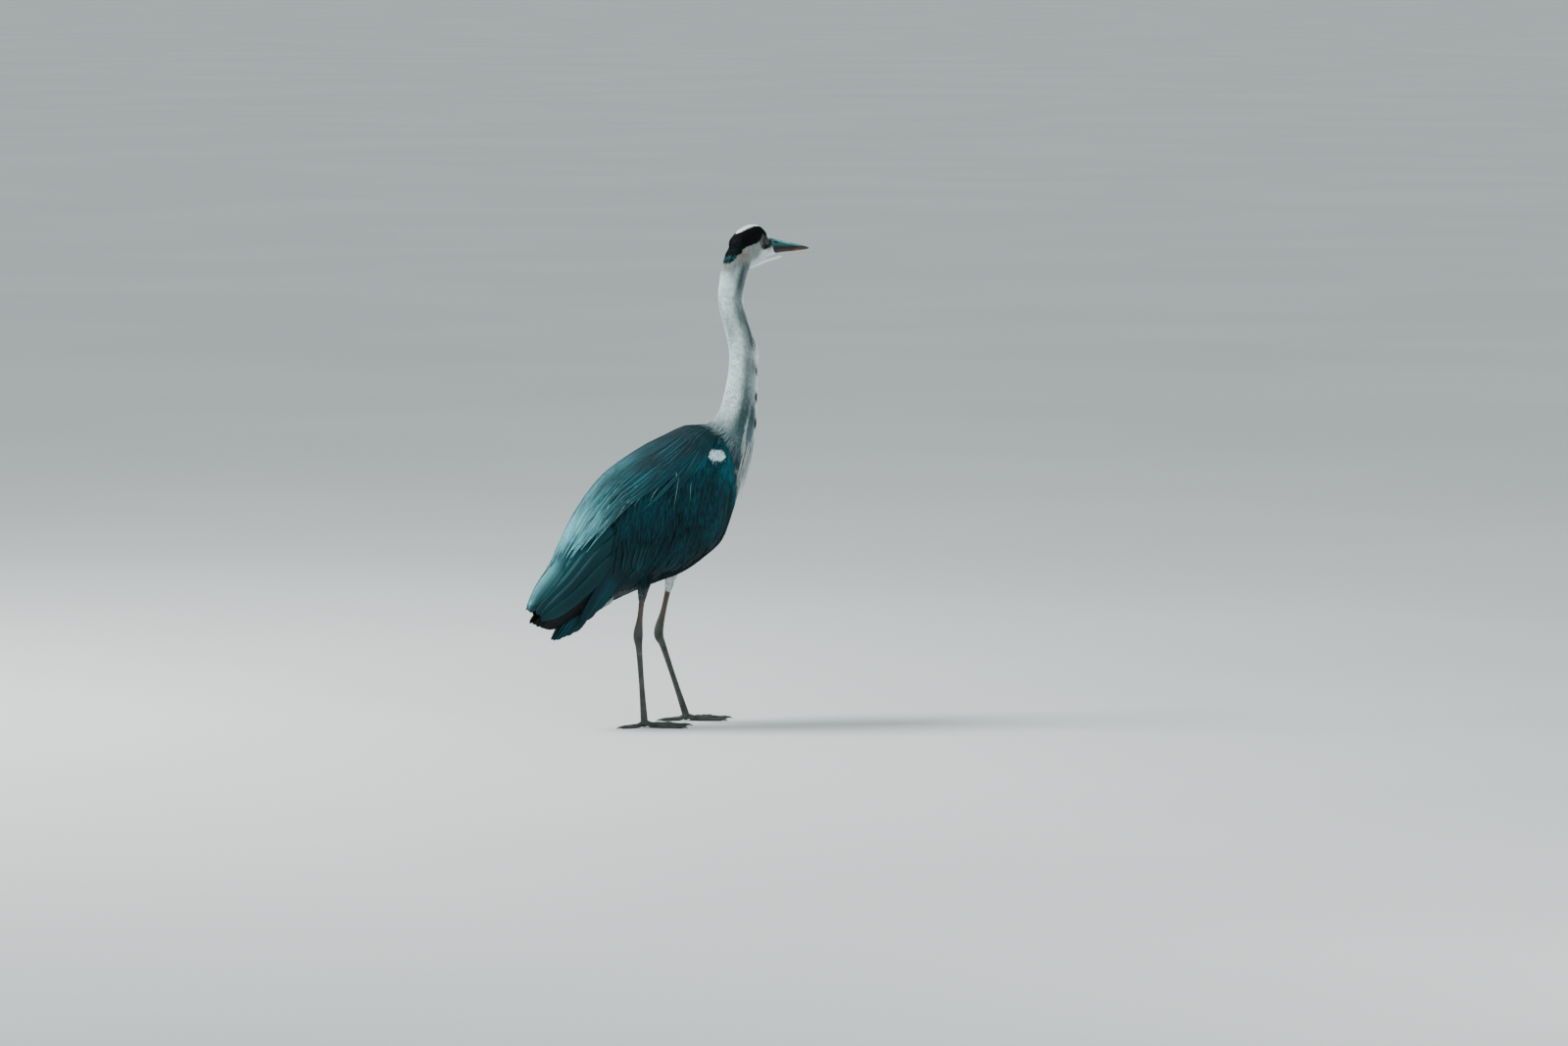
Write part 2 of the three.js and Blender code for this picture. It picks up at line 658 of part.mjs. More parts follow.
// ------------------------------------------------------------------ back and tail
const MANTLE_EDGE = 38; // degrees to each side of the back
const mantleCore = (grow = 0) =>
  shell(outline, {
    from: 0.9 - grow / 40,
    to: 9.6 + grow / 40,
    steps: 12,
    across: 6,
    edges: (s) => {
      const front = lerp(50, MANTLE_EDGE, smoothstep(s, 1, 3));
      const edge = lerp(front, 16, smoothstep(s, 7.6, 9.6)) + grow * 0.8;
      return [-edge, edge];
    },
    out: () => -0.6 + grow,
    depth: (s) => lerp(17, 6, smoothstep(s, 8.2, 9.6)) + grow,
  });
// Long lance-shaped feathers of the shoulder, in two tiers.
const SCAPULARS = [
  {
    count: 4, half: 9.5, tilt: -6, bow: 3, outline: PLUME, cuts: MORE, seed: 11, rise: 0.3,
    roots: [[5.4, 36, -4], [6.2, 10, -4]],
    tips: [[8.4, 58, 2.2], [9.9, 26, 2.2]],
  },
  {
    count: 5, half: 8, tilt: -5, bow: 4, outline: PLUME, cuts: MORE, seed: 12, rise: 0.3,
    roots: [[2.8, 36, -4], [3.8, 8, -4]],
    tips: [[6.0, 68, 3], [8.0, 16, 4]],
  },
];
const scapulars = (side, grow = 0) =>
  SCAPULARS.flatMap((each) =>
    row(outline, side, { ...each, half: each.half + grow, thick: SHAFT + 2 * grow }),
  );

// The tail's feathers are stacked, the middle pair on top and each outer one a step lower.
function tailFeathers(grow = 0) {
  const throwOf = dice(41);
  const root = V(TAIL.root[0], 0, TAIL.root[1]);
  const tip = V(TAIL.tip[0], 0, TAIL.tip[1]);
  const along = tip.clone().sub(root).normalize();
  const upward = V(along.z, 0, -along.x);
  const vanes = [];
  for (let i = 0; i < TAIL.feathers; i++) {
    const share = (2 * i) / (TAIL.feathers - 1) - 1;
    const rank = Math.floor(Math.abs(i - (TAIL.feathers - 1) / 2));
    const level = 2.8 - rank - (share > 0 ? 0 : 0.5);
    const start = root
      .clone()
      .add(V(0, share * TAIL.rootHalf, 0))
      .addScaledVector(upward, level * TAIL.step[0]);
    const end = tip
      .clone()
      .add(V(0, share * TAIL.half, 0))
      .addScaledVector(upward, level * TAIL.step[1])
      .addScaledVector(along, throwOf(1.5) - TAIL.round * share * share);
    const path = (t) => ({ point: start.clone().lerp(end, t), out: upward });
    const size = { half: TAIL.wide + grow, thick: SHAFT + 2 * grow, cuts: [0, 0.8, 0.95, 1] };
    vanes.push(vane(path, size));
  }
  return vanes;
}
const tailCore = (grow = 0) => {
  const root = V(TAIL.root[0], 0, TAIL.root[1]);
  const tip = V(TAIL.tip[0], 0, TAIL.tip[1]);
  const points = [-0.1, 0.15, 0.36, 0.5].map((t) => root.clone().lerp(tip, t));
  return limb(points, [19, 17, 11, 4].map((half) => half + grow), 6, 12);
};

// ------------------------------------------------------------------ putting it together
const fleshRoom = flesh(GAP);
const mantle = largest(join([mantleCore(), ...both(scapulars).flat()]).subtract(fleshRoom));
const mantleRoom = join([mantleCore(GAP), ...both(scapulars, GAP).flat()]);
const tail = largest(join([tailCore(), ...tailFeathers()]).subtract(fleshRoom));
const tailRoom = join([tailCore(GAP), ...tailFeathers(GAP)]);
const legRoom = join(Object.values(LEGS).map((leg) => thigh(leg, GAP)));
const wing = (side) =>
  largest(
    join([wingCore(side), ...wingFeathers(side)])
      .subtract(join([fleshRoom, mantleRoom, tailRoom, legRoom]))
      .trimByPlane([0, side, 0], WINGS_APART),
  );
const wings = { left: wing(1), right: wing(-1) };
const torso = below(wholeFlesh, NECK_CUTS[0]);

const heron = new THREE.Group();
heron.name = "grey_heron";
function add(name, solid, finish) {
  const { vertProperties, triVerts } = solid.getMesh();
  const geometry = new THREE.BufferGeometry()
    .setAttribute("position", new THREE.BufferAttribute(vertProperties, 3))
    .setIndex(new THREE.BufferAttribute(triVerts, 1));
  geometry.computeVertexNormals();
  const mesh = new THREE.Mesh(geometry, new THREE.MeshStandardMaterial(finish));
  mesh.name = name;
  heron.add(mesh);
}

add("head", head, HEAD);
add("bill_upper", upperBill, BILL);
add("bill_lower", lowerBill, BILL_UNDER);
add("eye_left", eyeball(1), EYEBALL);
add("eye_right", eyeball(-1), EYEBALL);
add("neck_upper", neckLength(3), PALE);
add("neck_middle", neckLength(2), PALE);
add("neck_lower", neckLength(1), ASH);
add("neck_base", neckBase, ASH);
add("torso", largest(torso), ASH);
add("mantle", mantle, SLATE);
add("wing_left", wings.left, WING);
add("wing_right", wings.right, WING);
add("tail", tail, SLATE);
for (const [name, leg] of Object.entries(LEGS)) {
  const whole = lowerLeg(leg);
  const feathered = thigh(leg).subtract(fleshRoom);
  const shankPart = beyond(whole, at(leg.ankle), ankleUp(leg)).subtract(join([fleshRoom, thigh(leg, GAP)]));
  const tarsusPart = beyond(
    beyond(whole, footCut(leg), footUp(leg)),
    at(leg.ankle),
    ankleUp(leg).negate(),
  );
  add("thigh_" + name, largest(beyond(feathered, shankTop(leg), at(leg.knee).sub(at(leg.ankle)))), PALE);
  add("shank_" + name, largest(shankPart), LEG);
  add("tarsus_" + name, largest(tarsusPart), LEG);
  add("foot_" + name, footJoint(leg), LEG);
  toesOf(leg).forEach((made, i) => add("toe_" + name + "_" + TOES[i].name, made, LEG));
  for (const each of TOES) add("claw_" + name + "_" + each.name, claw(leg, each), CLAWS);
}

// The origin lies on the floor, under the middle of the bird's outline.
const box = new THREE.Box3().setFromObject(heron);
const middle = box.getCenter(V(0, 0, 0));
heron.position.set(-middle.x, -middle.y, -box.min.z);

export default heron;
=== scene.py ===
# %% [markdown]
# # Dressing a standing grey heron
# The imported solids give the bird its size, its stance and its main feathers. This lesson keeps
# them as a fixed frame, lays one smooth skin inside them, and covers that skin the way a real
# heron is covered: hair-fine feathers on the face, soft ones down the neck, rounded ones over
# the back, and rows of long vanes along the folded wing and the tail.

# %% Load the frame
import math

import bpy
import numpy as np
from mathutils import Matrix, Vector
from mathutils.bvhtree import BVHTree


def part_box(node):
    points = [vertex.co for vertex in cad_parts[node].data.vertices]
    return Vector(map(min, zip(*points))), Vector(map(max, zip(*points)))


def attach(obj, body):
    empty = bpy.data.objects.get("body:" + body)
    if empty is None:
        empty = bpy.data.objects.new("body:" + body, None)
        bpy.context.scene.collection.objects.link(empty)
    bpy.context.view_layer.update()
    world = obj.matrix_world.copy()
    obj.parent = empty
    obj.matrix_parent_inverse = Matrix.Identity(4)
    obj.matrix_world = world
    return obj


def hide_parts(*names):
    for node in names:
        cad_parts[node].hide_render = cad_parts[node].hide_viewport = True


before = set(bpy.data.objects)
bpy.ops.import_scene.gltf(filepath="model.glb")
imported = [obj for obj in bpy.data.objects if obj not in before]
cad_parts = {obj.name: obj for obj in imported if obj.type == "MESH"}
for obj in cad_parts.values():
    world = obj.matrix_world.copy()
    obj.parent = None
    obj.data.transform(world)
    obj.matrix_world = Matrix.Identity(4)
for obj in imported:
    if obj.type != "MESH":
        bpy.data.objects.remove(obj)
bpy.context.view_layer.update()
MM = 0.001

# %% [markdown]
# ## Where the bird was drawn
# The solids were drawn in millimetres and then shifted, so that their outline stands over the
# origin. The middle between the two eyes is a named place in that drawing, and the eyes are
# nodes of the frame, so the shift is read from them instead of being typed in.

# %% The bird's own place
HEAD_AT = np.array([179.7, 21.0, 843.0])  # middle between the eyes, in the drawing
HEAD_DEGREES = 20  # how far the head turns to the bird's left
HEAD_TURN = math.radians(HEAD_DEGREES)
eye_boxes = [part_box("eye_left"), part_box("eye_right")]
eyes_middle = sum((low + high for low, high in eye_boxes), Vector()) / 4
STANCE = np.array(eyes_middle) - HEAD_AT * MM
HEAD_AXES = np.array(Matrix.Rotation(HEAD_TURN, 3, "Z"))


def placed(points):
    """Millimetres of the drawing as metres of the frame."""
    return np.asarray(points, float) * MM + STANCE


def drawn(points):
    """Metres of the frame as millimetres of the drawing."""
    return (np.asarray(points, float) - STANCE) / MM


def from_head(points):
    """Millimetres in the head's own frame, x along the bill, as millimetres of the drawing."""
    return np.asarray(points, float) @ HEAD_AXES.T + HEAD_AT


def to_head(points):
    return (np.asarray(points, float) - HEAD_AT) @ HEAD_AXES


print("the drawing is shifted by", (STANCE / MM).round(2), "mm")

# %% [markdown]
# ## The sizes that everything hangs on
# A body form is a row of stations in the bird's middle plane. Each gives a point on the upper
# line, a point on the lower line and half the width: x, z, x, z, half width, in millimetres.

# %% Stations of the body
OUTLINE = [  # the outside of the bird with its wings folded, from the neck to the wing tips
    (100, 515, 134, 440, 40), (74, 526, 127, 404, 54), (41, 524, 112, 356, 66), (5, 509, 96, 318, 75),
    (-35, 490, 66, 292, 80), (-75, 467, 26, 267, 80), (-112, 441, -15, 253, 76), (-143, 407, -55, 240, 68),
    (-167, 372, -95, 227, 58), (-188, 335, -128, 214, 47), (-208, 297, -160, 205, 38),
    (-233, 263, -200, 192, 30), (-254, 226, -240, 191, 20),
]
TRUNK = [
    (96, 492, 122, 452, 26), (88, 503, 131, 438, 38), (66, 514, 126, 402, 48), (37, 512, 111, 356, 56),
    (3, 497, 95, 318, 62), (-33, 477, 65, 292, 66), (-70, 453, 26, 267, 66), (-104, 426, -15, 253, 61),
    (-132, 391, -53, 240, 53), (-148, 350, -84, 228, 42), (-150, 305, -106, 219, 30),
    (-140, 268, -118, 222, 16),
]
NECK = [
    (36, 492, 92, 384, 40), (62, 516, 128, 420, 45), (76, 527, 151, 472, 43), (90, 539, 164, 516, 37),
    (99, 557, 167, 552, 31), (107, 588, 168, 590, 27), (113, 622, 168, 624, 25), (113, 655, 170, 652, 24),
    (105, 692, 156, 690, 23), (96, 722, 146, 719, 22.5), (93, 750, 141, 748, 22.5),
    (96, 778, 147, 775, 23), (101, 806, 158, 797, 22), (112, 832, 172, 812, 18),
]
SKULL = [
    (-66, 4, -62, -18, 8), (-60, 12, -56, -32, 15), (-46, 22.5, -45, -42, 20), (-31, 29, -30, -46, 22),
    (-16, 31.5, -15, -43, 21.5), (-3, 28, -2, -35, 19), (9, 18, 9, -30, 15.5), (18, 9, 19, -27.5, 12),
    (27, -8, 29, -26, 7.5), (36, -15, 37, -24, 3.5),
]
BILL = [
    (12, 10.5, 11, -24, 10.5), (23, 6, 23, -23, 9.4), (48, 1.6, 48, -20.4, 6.3),
    (80, -5.2, 80, -18.8, 3.8), (103, -10.8, 103, -17.2, 1.9), (113, -14.5, 112.5, -15.3, 0.35),
]
LEGS = {
    "right": {
        "side": -1, "hip": (-46, -32, 296), "knee": (-58, -37, 246), "ankle": (-68, -38, 163),
        "foot": (-57, -38, 12),
    },
    "left": {
        "side": 1, "hip": (40, 32, 320), "knee": (20, 37, 262), "ankle": (-4, 38, 158),
        "foot": (46, 38, 12),
    },
}

# %% [markdown]
# ## Forms that can be asked for any point
# A form answers one question: which point lies at this station, turned this far from the upper
# line towards the bird's left, and lifted this much off the surface? Feathers and skin both ask
# it, so they always agree.

# %% Smooth lines and forms


def smooth_line(values, share):
    """Points of a smooth line through the values, at shares of its length from 0 to 1."""
    values = np.asarray(values, float)
    last = len(values) - 1
    x = np.clip(np.atleast_1d(share), 0, 1) * last
    i = np.minimum(x.astype(int), last - 1)
    w = (x - i)[:, None]
    ends = np.vstack([2 * values[0] - values[1], values, 2 * values[-1] - values[-2]])
    a, b, c, d = (ends[i + k] for k in range(4))
    leave, arrive = (c - a) / 2, (d - b) / 2
    return b + leave * w + (3 * (c - b) - 2 * leave - arrive) * w**2 + (2 * (b - c) + leave + arrive) * w**3


def unit(v):
    return v / np.maximum(np.linalg.norm(v, axis=-1, keepdims=True), 1e-9)


def fade(x, start, end):
    """0 before start, 1 after end and smooth between."""
    t = np.clip((np.asarray(x, float) - start) / (end - start), 0, 1)
    return t * t * (3 - 2 * t)


def ebb(x, start, end):
    """1 before start, 0 after end and smooth between."""
    return 1 - fade(x, start, end)


def in_a_row(*values):
    """Values spread to one shape, each laid out in a row, and that shape."""
    spread = np.broadcast_arrays(*(np.asarray(v, float) for v in values))
    return *(v.ravel() for v in spread), spread[0].shape


def filled_out(wave, power):
    return np.sign(wave) * np.abs(wave) ** power


def form_of(stations, power=0.9, turned=None):
    """A body form. A power under 1 fills out its oval cross sections towards a box."""
    stations = np.asarray(stations, float)

    def form(s, turn, out=0.0):
        s, turn, out, shape = in_a_row(s, turn, out)
        at = smooth_line(stations, s / form.last)
        up, low, half = at[:, 0:2], at[:, 2:4], at[:, 4]
        along, across = filled_out(np.cos(turn), power), filled_out(np.sin(turn), power)
        rise = (up - low) / 2
        flat = (up + low) / 2 + rise * along[:, None]
        lean = rise * (along / (rise**2).sum(1))[:, None]
        normal = unit(np.column_stack([lean[:, 0], across / half, lean[:, 1]]))
        point = np.column_stack([flat[:, 0], half * across, flat[:, 1]]) + normal * out[:, None]
        if turned:
            point = turned(point)
        return point.reshape(shape + (3,))

    form.last = len(stations) - 1
    return form


NEARBY = 0.004  # the share of a limb over which its direction is measured


def limb_of(points, halves):
    """A round limb through points, from its first point (0) to its last (1)."""
    halves = np.asarray(halves, float)[:, None]

    def form(s, turn, out=0.0):
        s, turn, out, shape = in_a_row(s, turn, out)
        along = unit(smooth_line(points, s + NEARBY) - smooth_line(points, s - NEARBY))
        across = unit(np.cross((0.0, 1.0, 0.0), along))
        other = np.cross(along, across)
        half = smooth_line(halves, s)[:, 0] + out
        ring = across * np.cos(turn)[:, None] + other * np.sin(turn)[:, None]
        return (smooth_line(points, s) + ring * half[:, None]).reshape(shape + (3,))

    form.last = 1
    return form


NAPE_X = 120  # the upright line that the top of the neck turns about
NECK_TWIST = (735, 812)  # the heights between which it turns


def turn_neck(points):
    """The top of the neck turns with the head, about an upright line through the nape."""
    share = fade(points[:, 2], *NECK_TWIST) * HEAD_TURN
    x, y = points[:, 0] - NAPE_X, points[:, 1]
    turned = points.copy()
    turned[:, 0] = NAPE_X + x * np.cos(share) - y * np.sin(share)
    turned[:, 1] = x * np.sin(share) + y * np.cos(share)
    return turned


outline = form_of(OUTLINE, 0.88)
trunk = form_of(TRUNK)
neck = form_of(NECK, 0.96, turn_neck)
skull = form_of(SKULL, 0.96, from_head)
bill = form_of(BILL, 0.9, from_head)
print("the neck's middle is", np.ptp(neck(7, np.array([0, math.pi])), axis=0).max().round(1), "mm deep")

# %% [markdown]
# ## Casting a primitive onto a form
# A UV sphere is a good start for a long closed form: its rings slide along the stations and its
# poles close the two ends. A grid does the same for a sheet, and Solidify gives it depth.

# %% Select, read and edit


def fresh():
    """Nothing selected, so that the next operator acts only on what it makes."""
    for each in bpy.context.selected_objects:
        each.select_set(False)


def take(*pieces):
    """Select these pieces, the first one active."""
    fresh()
    for each in pieces:
        each.select_set(True)
    bpy.context.view_layer.objects.active = pieces[0]


def read(items, name, width, kind=float):
    """One property of every item as the rows of an array."""
    values = np.empty(len(items) * width, kind)
    items.foreach_get(name, values)
    return values.reshape(-1, width)


def corners(piece):
    return read(piece.data.vertices, "co", 3)


def move_corners(piece, points):
    piece.data.vertices.foreach_set("co", np.ascontiguousarray(points, float).ravel())
    piece.data.update()


def finish_with(piece, kind, **settings):
    """Add a modifier, set it and apply it."""
    take(piece)
    modifier = piece.modifiers.new(kind.title(), kind)
    for name, value in settings.items():
        setattr(modifier, name, value)
    bpy.ops.object.modifier_apply(modifier=modifier.name)


def edit_all(piece, operator, **settings):
    """Run an edit mode operator on the whole of a piece."""
    take(piece)
    bpy.ops.object.mode_set(mode="EDIT")
    bpy.ops.mesh.select_all(action="SELECT")
    operator(**settings)
    bpy.ops.object.mode_set(mode="OBJECT")


def face_outwards(piece):
    edit_all(piece, bpy.ops.mesh.normals_make_consistent, inside=False)


def smooth(piece):
    take(piece)
    bpy.ops.object.shade_smooth()
    return piece


def join(name, parts):
    take(*parts)
    bpy.ops.object.join()
    piece = bpy.context.object
    piece.name = name
    return piece


# %% Casting helpers


def cast(name, form, rings, around, out=0.0):
    """A UV sphere laid onto a form. out may be a number or a function of station and turn."""
    fresh()
    bpy.ops.mesh.primitive_uv_sphere_add(segments=around, ring_count=rings, radius=1)
    piece = bpy.context.object
    piece.name = name
    co = corners(piece)
    step = np.arccos(np.clip(co[:, 2], -1, 1)) / math.pi * rings
    s = np.clip((step - 1) / (rings - 2), 0, 1) * form.last
    turn = np.arctan2(co[:, 1], co[:, 0])
    lift = out(s, turn) if callable(out) else out
    points = form(s, turn, lift)
    pole = (step < 0.5) | (step > rings - 0.5)
    points[pole] = (form(s[pole], 0.0) + form(s[pole], math.pi)) / 2
    move_corners(piece, placed(points))
    face_outwards(piece)
    return piece


def sheet_on(name, form, side, stations, turns, out, depth):
    """A grid laid onto a form between two stations and two lines of turns, given some depth."""
    fresh()
    bpy.ops.mesh.primitive_grid_add(x_subdivisions=40, y_subdivisions=24, size=2)
    piece = bpy.context.object
    piece.name = name
    co = (corners(piece) + 1) / 2
    s = stations[0] + (stations[1] - stations[0]) * co[:, 0]
    near, far = turns(s)
    degrees = near + (far - near) * co[:, 1]
    outer = form(s, np.radians(degrees) * side, out(s, degrees))
    move_corners(piece, placed(outer))
    finish_with(piece, "SOLIDIFY", thickness=depth * MM, offset=side)
    face_outwards(piece)
    return piece


# %% [markdown]
# ## One skin for the whole body
# A bird's skin has no seams, so the trunk, neck, head, thighs, folded wings and tail root are
# cast apart and then fused by a voxel remesh. The skin lies a coat's depth inside the solids:
# 1.4 mm on the face, 2.6 mm on the neck and more under the long feathers.

# %% Cast the flesh
THIGH_HALVES = (17, 16, 11.5, 6.6)
WING_SPAN = (1.7, 10.4)  # the first and the last station of the wing
MANTLE_SPAN = (0.9, 9.4)
COAT_DEEP = {"face": 1.4, "neck": 2.6, "body": 3.2}
BED = {"wing": 4.6, "under_vanes": 7.4, "mantle": 4.0, "wing_thick": 15, "mantle_thick": 12}


def spot(leg, *path):
    """A place on a leg, or a share of the way between two of its places."""
    places = [np.array(leg[name], float) for name in path if isinstance(name, str)]
    return places[0] if len(places) == 1 else places[0] + (places[1] - places[0]) * path[2]


def thigh_of(leg):
    points = [spot(leg, "hip"), spot(leg, "hip", "knee", 0.55), spot(leg, "knee")]
    return limb_of([*points, spot(leg, "knee", "ankle", 0.32)], THIGH_HALVES)


def wing_turns(s):
    return (
        52 - 16 * fade(s, 1.6, 3) - 12 * fade(s, 9, 11),
        116 + 26 * fade(s, 1.6, 4),
    )


def covert_line(s):
    """The turn at which the short feathers of the wing give way to the long ones."""
    return 98 - 22 * np.clip((s - 2.5) / 4.2, 0, 1)


def wing_bed(s, degrees):
    """The height of the wing's flesh, lower where the long feathers cover it."""
    line = covert_line(s)
    bare = np.maximum(fade(degrees, line - 4, line + 16), fade(s, 6.4, 7.8))
    return -BED["wing"] - BED["under_vanes"] * bare


def mantle_turns(s):
    edge = 50 - 12 * fade(s, 1, 3)
    edge = edge + (16 - edge) * fade(s, 7.6, 9.6)
    return -edge, edge


def mantle_bed(s, degrees):
    return -BED["mantle"]


throat = limb_of(from_head([(-26, 0, -33.5), (4, 0, -34), (19, 0, -32.6)]), [6.8, 4.3, 1.7])
flesh = [
    cast("trunk", trunk, 40, 40, -COAT_DEEP["body"]),
    cast("neck", neck, 70, 36, lambda s, turn: -COAT_DEEP["neck"] * (1 - 0.3 * fade(s, 10, 13))),
    cast("skull", skull, 40, 36, -COAT_DEEP["face"]),
    cast("throat", throat, 18, 20),
]
for leg in LEGS.values():
    flesh.append(cast("thigh", thigh_of(leg), 18, 24, -COAT_DEEP["body"]))
for side in (1, -1):
    flesh.append(sheet_on("wing_bed", outline, side, WING_SPAN, wing_turns, wing_bed, BED["wing_thick"]))
flesh.append(sheet_on("mantle_bed", outline, 1, MANTLE_SPAN, mantle_turns, mantle_bed, BED["mantle_thick"]))
TAIL_ROOT = np.array([-118.0, 0, 286])
TAIL_TIP = np.array([-199.0, 0, 145])
tail_core = limb_of([TAIL_ROOT + (TAIL_TIP - TAIL_ROOT) * t for t in (-0.1, 0.15, 0.36, 0.5)], (17, 15, 9, 3))
flesh.append(cast("tail_root", tail_core, 14, 20))

# %% Fuse it into one skin
skin = join("heron_skin", flesh)
finish_with(skin, "REMESH", mode="VOXEL", voxel_size=2.3 * MM)
finish_with(skin, "SMOOTH", factor=0.5, iterations=6)
smooth(skin)
print("the skin has", len(skin.data.polygons), "faces")

# %% [markdown]
# ## The skin's unwrap, and how feathers find it
# Every feather is laid with its root on the skin, so it needs three things from it: the nearest
# place, the way out of the surface there, and that place on the skin's unwrap, where the
# feather's patch on the OFBake map lies.

# %% Unwrap the skin
edit_all(skin, bpy.ops.uv.smart_project, angle_limit=math.radians(75), island_margin=0.002)
skin.data.uv_layers[0].name = "OFBake"
skin_tree = BVHTree.FromObject(skin, bpy.context.evaluated_depsgraph_get())
skin_uv = read(skin.data.uv_layers["OFBake"].data, "uv", 2)
first_corner = read(skin.data.polygons, "loop_start", 1, int)[:, 0]


def on_skin(points):
    """Nearest places on the skin, ways out of it, and faces there, for points in metres."""
    flat = points.reshape(-1, 3)
    places, ways, faces = np.empty_like(flat), np.empty_like(flat), np.empty(len(flat), int)
    for i, p in enumerate(flat):
        place, way, face, _ = skin_tree.find_nearest(p)
        places[i], ways[i], faces[i] = place, way, face
    return places.reshape(points.shape), ways.reshape(points.shape), faces.reshape(points.shape[:-1])


def unwrap_at(faces):
    """Where faces of the skin lie on its unwrap."""
    return skin_uv[first_corner[faces]]


print("the unwrap covers", skin_uv.min(0).round(3), "to", skin_uv.max(0).round(3))

# %% [markdown]
# ## The lie of the coat
# Feathers point from the bill to the tail, but not in straight lines: they run back over the
# head, down the neck, back along the body and down the thighs. A few guide lines carry these
# directions, and every feather takes a weighted mean of the guides near it.

# %% Guide lines
guide_points, guide_ways = [], []


def guide(points, steps=14):
    shares = np.linspace(0, 1, steps)
    line = smooth_line(points, shares)
    guide_points.append(line)
    guide_ways.append(unit(smooth_line(points, shares + 0.02) - smooth_line(points, shares - 0.02)))


guide(from_head([(26, 0, 4), (8, 0, 20), (-20, 0, 30), (-52, 0, 16), (-70, 0, -10), (-78, 0, -34)]))
for side in (1, -1):
    guide(from_head([(22, side * 12, -10), (0, side * 20, -8), (-30, side * 22, -12), (-58, side * 16, -30)]))
guide(from_head([(36, 0, -22), (10, 0, -31), (-14, 0, -42), (-34, 0, -50)]))
for turn in (0, 90, 180, 270):
    guide(neck(np.linspace(12, 1.2, 16), math.radians(turn)), 26)
for turn in (0, 45, 90, 150, 180, 210, 270, 315):
    guide(outline(np.linspace(0.6, 11, 12), math.radians(turn)), 20)
for leg in LEGS.values():
    for turn in (0, 180):
        guide(thigh_of(leg)(np.linspace(0.25, 1, 6), math.radians(turn)), 10)
GUIDE_POINTS = np.vstack(guide_points)
GUIDE_WAYS = np.vstack(guide_ways)


BLEND = 60  # square millimetres; more of it blends the guides more softly
AT_ONCE = 4000  # places that are compared with all the guides at a time


def lie(points, ways_out):
    """The way feathers point at places of the drawing, along the surface."""
    made = np.empty_like(points)
    for start in range(0, len(points), AT_ONCE):
        some = points[start : start + AT_ONCE]
        far = ((some[:, None, :] - GUIDE_POINTS[None]) ** 2).sum(2)
        weight = 1 / (far + BLEND) ** 2
        made[start : start + AT_ONCE] = weight @ GUIDE_WAYS
    made -= ways_out * (made * ways_out).sum(1)[:, None]
    return unit(made)


print("the coat follows", len(GUIDE_POINTS), "guides")

# %% [markdown]
# ## Colours and markings
# Skin and coat carry the same markings, so that nothing foreign shows between two feathers. One
# function paints both: it is given places of the drawing and answers with colours. A grey heron
# has a white crown between two broad black bands that meet on the nape, a pale face, a
# light grey neck with dark dashes down its front, a slate back and wings, and a pale belly.

# %% Paints


def paint(red, green, blue):
    """A colour as a picture shows it (0 to 255), turned into light."""
    c = np.array([red, green, blue]) / 255
    return np.where(c < 0.04045, c / 12.92, ((c + 0.055) / 1.055) ** 2.4)


BLACK = paint(4, 6, 9)
NAPE_BLUE = paint(34, 92, 97)
CROWN_WHITE = paint(240, 247, 247)
CHEEK = paint(150, 160, 156)
JAW_WHITE = paint(240, 244, 240)
BUFF = paint(146, 134, 127)
LORE = paint(20, 32, 30)
NECK_PALE = paint(222, 242, 242)
NECK_GREY = paint(94, 112, 112)
NECK_LOW = paint(62, 92, 97)
BREAST = paint(205, 214, 213)
SLATE = paint(6, 60, 68)
SLATE_DEEP = paint(2, 34, 41)
SLATE_MID = paint(22, 94, 102)
SLATE_PALE = paint(108, 180, 188)
QUILL_DARK = paint(7, 16, 20)
TERTIAL = paint(4, 54, 60)
TAIL_GREY = paint(4, 43, 50)
BELLY = paint(128, 144, 143)
FLANK = paint(3, 24, 29)
CARPAL = paint(214, 244, 248)
THIGH_WHITE = paint(216, 222, 222)
WHITEST = paint(252, 254, 254)


def mix(a, b, share):
    share = np.asarray(share, float)[..., None]
    return a + (b - a) * share


def mottle(points, size, seed):
    """Soft irregular patches between -1 and 1, the same ones on every run."""
    dice = np.random.default_rng(seed)
    total = np.zeros(points.shape[:-1])
    for _ in range(5):
        way = unit(dice.normal(size=3)) * 2 * math.pi / (size * dice.uniform(0.7, 1.5))
        total += np.sin(points @ way + dice.uniform(0, 6.28))
    return total / 2.6


TO_A_STATION = 20
outline_line = smooth_line(OUTLINE, np.linspace(0, 1, TO_A_STATION * outline.last + 1))
WING_BEND = np.array([69, 61, 475])


def around_outline(p):
    """Station and turn in degrees (0 above, 180 below) of places near the body's outline."""
    middle = (outline_line[:, 0:2] + outline_line[:, 2:4]) / 2
    far = ((p[:, None, (0, 2)] - middle[None]) ** 2).sum(2)
    near = far.argmin(1)
    rise = (outline_line[near, 0:2] - outline_line[near, 2:4]) / 2
    up = ((p[:, (0, 2)] - middle[near]) * rise).sum(1) / (rise**2).sum(1)
    across = p[:, 1] / outline_line[near, 4]
    return near / TO_A_STATION, np.degrees(np.arctan2(np.abs(across), up))


def at_wing_bend(p):
    """1 on the white patch at the bend of either wing, 0 off it."""
    away = p * [1, 0, 1] + np.abs(p * [0, 1, 0]) - WING_BEND
    along = away @ unit(np.array([38.0, -3, -14])) / 16.5
    across = away @ unit(np.array([-2.0, 7, -21])) / 10
    return ebb(along**2 + across**2 + 0.14 * mottle(p, 9, 8), 0.85, 1.15)


